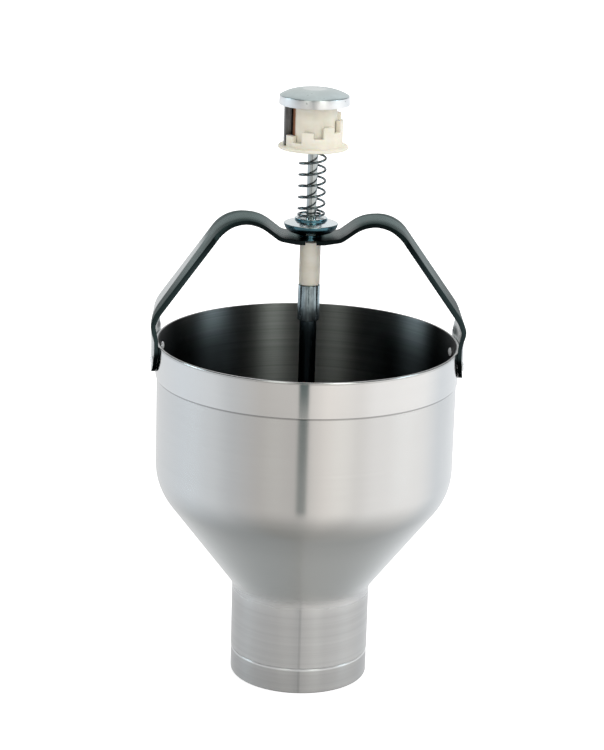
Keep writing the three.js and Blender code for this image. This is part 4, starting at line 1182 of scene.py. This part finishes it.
class DISPENSER_OT_finger(bpy.types.Operator):
    """Bend the steel finger that stops against the crown"""

    bl_idname = "dispenser.finger"
    bl_label = "Stop finger"

    def execute(self, context):
        settings = context.scene.dispenser_plunger
        outer = CROWN_OUTER + SEAT_GAP
        thick, leg, width = 2, outer - SLEEVE_RADIUS - RUNNING_GAP, 6.6
        bottom, top = FLANGE_TOP + SEAT_GAP, SLEEVE_TOP + SEAT_GAP + thick
        under = (top - thick) * MM
        finger = start("bent_finger", bpy.ops.mesh.primitive_cube_add, size=MM,
                       location=((outer - leg / 2) * MM, 0, (bottom + top) / 2 * MM),
                       scale=(leg, width, top - bottom))
        bpy.ops.mesh.bisect(plane_co=(0, 0, under), plane_no=(0, 0, 1))
        pick(finger, "faces", lambda face: face.normal.x < -0.9 and face.calc_center_median().z > under)
        extrude(leg - outer, 0)
        leave_edit_mode()
        eye = add("finger_eye", bpy.ops.mesh.primitive_cylinder_add, vertices=64, radius=11 * MM,
                  depth=thick * MM, location=(0, 0, (top - thick / 2) * MM))
        cut_out(finger, eye, "UNION")
        drill(finger, ROD_BORE, raised(top))
        reopen(finger)
        pick(finger, "edges", lambda edge: all(
            abs(vertex.co.x - outer * MM) < TOUCH and abs(vertex.co.z - top * MM) < TOUCH
            for vertex in edge.verts))
        bpy.ops.mesh.bevel(offset=2.4 * MM, segments=8, affect="EDGES")
        leave_edit_mode()
        soften(finger, 0.35, angle=40)
        place_piece(finger, Matrix.Rotation(math.radians(FIRST_NOTCH), 4, "Z"))
        metal = drawn_metal("finger_metal", settings.finger_colour, 0.3, grip=0.2)
        settle(finger, "plunger", "finger", metal, "stop_finger")
        return {"FINISHED"}


class DISPENSER_OT_nuts(bpy.types.Operator):
    """Make the nut inside the cap sleeve and the one under the valve"""

    bl_idname = "dispenser.nuts"
    bl_label = "Nuts"

    def execute(self, context):
        zinc = plating("nut_zinc", ZINC, 0.3)
        height, across_flats, half_side = 5, 13, math.pi / 6
        for name, node, bottom in (("sleeve_nut", "cap_nut", 465.4), ("end_nut", "valve_nut", 3.3)):
            nut = add(name, bpy.ops.mesh.primitive_cylinder_add, vertices=6,
                      radius=across_flats / 2 / math.cos(half_side) * MM, depth=height * MM,
                      location=(0, 0, (bottom + height / 2) * MM), rotation=(0, 0, half_side))
            drill(nut, ROD_HOLE, raised(bottom))
            soften(nut, 0.35)
            settle(nut, "plunger", "fastener", zinc, node)
        return {"FINISHED"}


class DISPENSER_OT_rod(bpy.types.Operator):
    """Turn the rod that joins the thumb cap to the valve"""

    bl_idname = "dispenser.rod"
    bl_label = "Rod"

    def execute(self, context):
        chrome = plating("rod_chrome", context.scene.dispenser_plunger.rod_colour, 0.16)
        turn_collar("plunger_rod", "rod", "rod", chrome, (0, ROD_RADIUS, ROD_RADIUS, ROD_BOTTOM, ROD_TOP, 0.5), 48)
        return {"FINISHED"}


class DISPENSER_OT_tubes(bpy.types.Operator):
    """Turn the tubes on the rod: the nylon stop, the metal collar and the two dark tubes"""

    bl_idname = "dispenser.tubes"
    bl_label = "Tubes"

    def execute(self, context):
        settings = context.scene.dispenser_plunger
        nylon = moulded_nylon("stop_nylon", scaled(settings.nylon_colour, 0.9), 0.4)
        metal = drawn_metal("collar_metal", settings.collar_colour, 0.2, grip=0.0)
        # Near black: painted dark reflection of the hopper's inside on both dark tubes.
        dark = plating("dark_tube", settings.tube_colour, 0.16)
        for name, node, slot, material, sizes in (
            ("stop_bush", "stop_tube", "nylon", nylon, (8.3, 8.3, 327.3, 362.0, 0.6)),
            ("streaked_collar", "coupling_collar", "collar", metal, (8.9, 8.6, 298.4, 327.0, 0.5)),
            ("dark_tube", "plunger_tube", "tube", dark, (6.8, 6.8, 89.3, 298.1, 0.5)),
            ("valve_spacer", "spacer_tube", "tube", dark, (6.8, 6.8, 13.7, 80.7, 0.5)),
        ):
            turn_collar(name, node, slot, material, (ROD_BORE, *sizes), 64)
        return {"FINISHED"}


class DISPENSER_OT_piston(bpy.types.Operator):
    """Turn the piston with its groove, and the seal in it"""

    bl_idname = "dispenser.piston"
    bl_label = "Piston and seal"

    def execute(self, context):
        settings = context.scene.dispenser_plunger
        edge, floor, lip = CHAMBER_RADIUS - 0.7, CHAMBER_RADIUS - 4, CHAMBER_RADIUS - 0.35
        bottom, middle, top = 81, 85, 89
        groove, seal = 1.5, 1.2
        piston = turn("nylon_piston", [
            (ROD_BORE, bottom, 0),
            (edge, bottom, 1),
            (edge, middle - groove, 0),
            (floor, middle - groove, 0),
            (floor, middle + groove, 0),
            (edge, middle + groove, 0),
            (edge, top, 1),
            (ROD_BORE, top, 0.4),
        ])
        nylon = moulded_nylon("piston_nylon", scaled(settings.nylon_colour, 0.95))
        settle(piston, "plunger", "nylon", nylon, "piston")
        turn_collar("piston_ring_seal", "piston_seal", "seal", seal_rubber("seal_rubber"),
                    (floor + SEAT_GAP, lip, lip, middle - seal, middle + seal, 0.9))
        return {"FINISHED"}


class DISPENSER_OT_valve(bpy.types.Operator):
    """Turn the valve disc, its gasket and its washer"""

    bl_idname = "dispenser.valve"
    bl_label = "Valve"

    def execute(self, context):
        steel = turned_steel("valve_steel", context.scene.dispenser_hopper.colour, 0.3, grip=0.4, pitch=0.5)
        rubber = seal_rubber("gasket_rubber")
        zinc = plating("washer_zinc", ZINC, 0.3)
        for name, node, slot, material, sizes in (
            ("flat_gasket", "valve_gasket", "seal", rubber, (45, 51, 51, 13.7, 15.7, 0.4)),
            ("spout_disc", "valve_disc", "valve", steel, (ROD_BORE, 51, 51, 10.4, 13.4, 0.5)),
            ("end_washer", "valve_washer", "fastener", zinc, (ROD_BORE, 9, 9, 8.6, 10.1, 0.4)),
        ):
            turn_collar(name, node, slot, material, sizes)
        return {"FINISHED"}


# ---------------------------------------------------------------------------------------------------
# Studio


class DISPENSER_OT_stage(bpy.types.Operator):
    """Lay the floor, hang the light tent and set up the camera"""

    bl_idname = "dispenser.stage"
    bl_label = "Studio"

    # Round the tent: a bearing in degrees, the tone there, and how much cooler than grey it is.
    TONES = (
        (-180, 0.80, 0.00), (-110, 0.83, 0.05), (-75, 0.78, 0.03), (-60, 0.65, 0.02), (-34, 0.57, -0.02),
        (-9, 0.62, -0.02), (15, 0.92, -0.04), (40, 0.88, -0.02), (53, 1.00, -0.01), (83, 1.04, -0.01),
        (100, 1.04, 0.00), (122, 0.86, 0.04), (157, 0.94, 0.03), (180, 0.80, 0.00),
    )
    # The ramp of tones holds shares of the tent's strength, so that none of them is over 1.
    TENT_STRENGTH = 1.04 / 0.97
    # Soft boxes: the bearing and half width in degrees, the light, and whether they hang low.
    BOXES = (
        (27, 12, (2.6, 2.85, 2.65), False),
        (-25, 12, (1.3, 1.425, 1.325), False),
        (80, 15, (4.2, 5.4, 5.9), True),
        (-96, 15, (4.2, 5.4, 5.9), True),
    )

    def execute(self, context):
        settings = context.scene.dispenser_stage
        context.scene.view_settings.view_transform = "Standard"
        self.lay_floor(settings)
        self.hang_tent(context.scene, settings)
        self.set_camera(context.scene)
        return {"FINISHED"}

    @staticmethod
    def lay_floor(settings):
        """White paper, with a glow of its own on rays from the camera, from gloss and through clear pieces."""
        floor = add("studio_floor", bpy.ops.mesh.primitive_plane_add, size=24)
        material = bpy.data.materials.new("floor_paper")
        material.use_nodes = True
        recipe = Recipe(material.node_tree)
        fibres = recipe.noise(recipe.place(), 3.0, 2.0, 0.5)
        paper = recipe.vary(fibres, (settings.backdrop,) * 3, 0.93, 0.95)
        matt = recipe.node("ShaderNodeBsdfDiffuse", {}, {"Color": paper}, "BSDF")
        seen = recipe.ray("Camera").over(recipe.ray("Glossy").over(recipe.ray("Transmission")))
        glow = recipe.node("ShaderNodeEmission", {}, {"Strength": seen * 0.62}, "Emission")
        both = recipe.node("ShaderNodeAddShader", {}, {0: matt, 1: glow})
        recipe.node("ShaderNodeOutputMaterial", {}, {"Surface": both})
        floor.data.materials.append(material)
        floor.visible_glossy = False

    def hang_tent(self, scene, settings):
        """Gloss sees a pale tent. Matt pieces get plain light, a little stronger from the right. The camera, and
        rays through clear pieces, see a white page."""
        world = scene.world or bpy.data.worlds.new("light_tent")
        scene.world = world
        world.use_nodes = True
        recipe = Recipe(world.node_tree)
        x, y, z = recipe.split(recipe.node("ShaderNodeTexCoord", output="Generated"))
        cloth = self.cloth(recipe, x.sum("ARCTAN2", x, y * -1.0), z, settings.slit / 2)

        def light(colour, strength):
            return recipe.node("ShaderNodeBackground", {}, {"Color": colour, "Strength": strength}, "Background")

        tent = light(cloth, self.TENT_STRENGTH)
        plain = light((1, 1, 1, 1), (x * 0.35 + 1) * settings.brightness)
        page = light((1, 1, 1, 1), 1.0)
        both = recipe.node("ShaderNodeMixShader", {}, {"Fac": recipe.ray("Glossy"), 1: plain, 2: tent})
        straight = recipe.ray("Transmission").over(recipe.ray("Camera"))
        both = recipe.node("ShaderNodeMixShader", {}, {"Fac": straight, 1: both, 2: page})
        recipe.node("ShaderNodeOutputWorld", {}, {"Surface": both})

    def cloth(self, recipe, bearing, z, gap):
        """The tent's colour: tones that change round it, darker below, and black in front above the horizon,
        where the soft boxes hang. A dark slit stands in front below the horizon."""
        stops = [((degrees + 180) / 360, scaled((tone - cool, tone, tone + cool), 1 / self.TENT_STRENGTH))
                 for degrees, tone, cool in self.TONES]
        cloth = recipe.node("ShaderNodeValToRGB", {"stops": stops}, {"Fac": bearing / FULL_TURN + 0.5}, "Color")
        front = recipe.fade(abs(bearing), math.radians(132), math.radians(150))
        raised_part = recipe.spread(z, 0.02, 0.10) * recipe.fade(z, 0.90, 0.97)
        low_part = recipe.fade(z, 0.30, 0.55) * recipe.spread(z, 0.12, 0.20)
        dark = (0.003, 0.014, 0.016)
        for middle, half, lamp, low in self.BOXES:
            off = abs(bearing - math.radians(middle))
            box = recipe.fade(off, math.radians(half * 0.3), math.radians(half))
            dark = recipe.tint(box * low_part if low else box, dark, lamp)
        cloth = recipe.tint(front * raised_part, cloth, dark)
        cloth = recipe.tint(recipe.fade(z, -0.98, -0.36, 0.76), cloth, (0.18, 0.19, 0.18))
        off = abs(bearing + math.radians(2.9))
        slit = recipe.fade(off, gap * 0.85, gap * 1.15) * recipe.spread(z, -0.50, -0.29)
        return recipe.tint(slit, cloth, (0.02, 0.06, 0.06))

    @staticmethod
    def set_camera(scene):
        """Stands the camera in front, looking down a little, with a slight roll."""
        data = bpy.data.cameras.new("studio_camera")
        data.lens, data.sensor_width = 113.0, 36.0
        data.clip_start, data.clip_end = 0.05, 60
        camera = bpy.data.objects.new("studio_camera", data)
        scene.collection.objects.link(camera)
        bearing, pitch, roll = math.radians(1.57), math.radians(16.16), math.radians(1.67)
        place = (-0.0531, -1.8082, 0.7760)
        ahead = Vector((math.sin(bearing) * math.cos(pitch), math.cos(bearing) * math.cos(pitch),
                        -math.sin(pitch)))
        right = Vector((math.cos(bearing), -math.sin(bearing), 0))
        up = right.cross(ahead)
        right, up = (right * math.cos(roll) + up * math.sin(roll),
                     up * math.cos(roll) - right * math.sin(roll))
        turned = Matrix((right, up, -ahead)).transposed().to_4x4()
        camera.matrix_world = Matrix.Translation(place) @ turned
        scene.camera = camera


class DISPENSER_PT_panel(bpy.types.Panel):
    """Lists the dispenser's pieces and their settings"""

    bl_label = "Batter dispenser"
    bl_space_type = "VIEW_3D"
    bl_region_type = "UI"
    bl_category = "Dispenser"

    def draw(self, context):
        for attribute, group in SETTINGS.items():
            box = self.layout.box()
            settings = getattr(context.scene, attribute)
            for name in group.__annotations__:
                box.prop(settings, name)
        for operator in OPERATORS:
            self.layout.operator(operator.bl_idname)


OPERATORS = (
    DISPENSER_OT_hopper, DISPENSER_OT_rim_band, DISPENSER_OT_foot,
    DISPENSER_OT_strap, DISPENSER_OT_rivets,
    DISPENSER_OT_seat, DISPENSER_OT_spring, DISPENSER_OT_portion_ring,
    DISPENSER_OT_cap, DISPENSER_OT_sleeve, DISPENSER_OT_finger, DISPENSER_OT_nuts,
    DISPENSER_OT_rod, DISPENSER_OT_tubes, DISPENSER_OT_piston, DISPENSER_OT_valve,
    DISPENSER_OT_stage,
)
CLASSES = (*SETTINGS.values(), *OPERATORS, DISPENSER_PT_panel)


def register():
    for cls in CLASSES:
        bpy.utils.register_class(cls)
    for attribute, group in SETTINGS.items():
        setattr(bpy.types.Scene, attribute, PointerProperty(type=group))


def unregister():
    for attribute in SETTINGS:
        delattr(bpy.types.Scene, attribute)
    for cls in reversed(CLASSES):
        bpy.utils.unregister_class(cls)


def main():
    register()
    for operator in OPERATORS:
        getattr(bpy.ops.dispenser, operator.bl_idname.split(".")[1])()


if __name__ == "__main__":
    main()
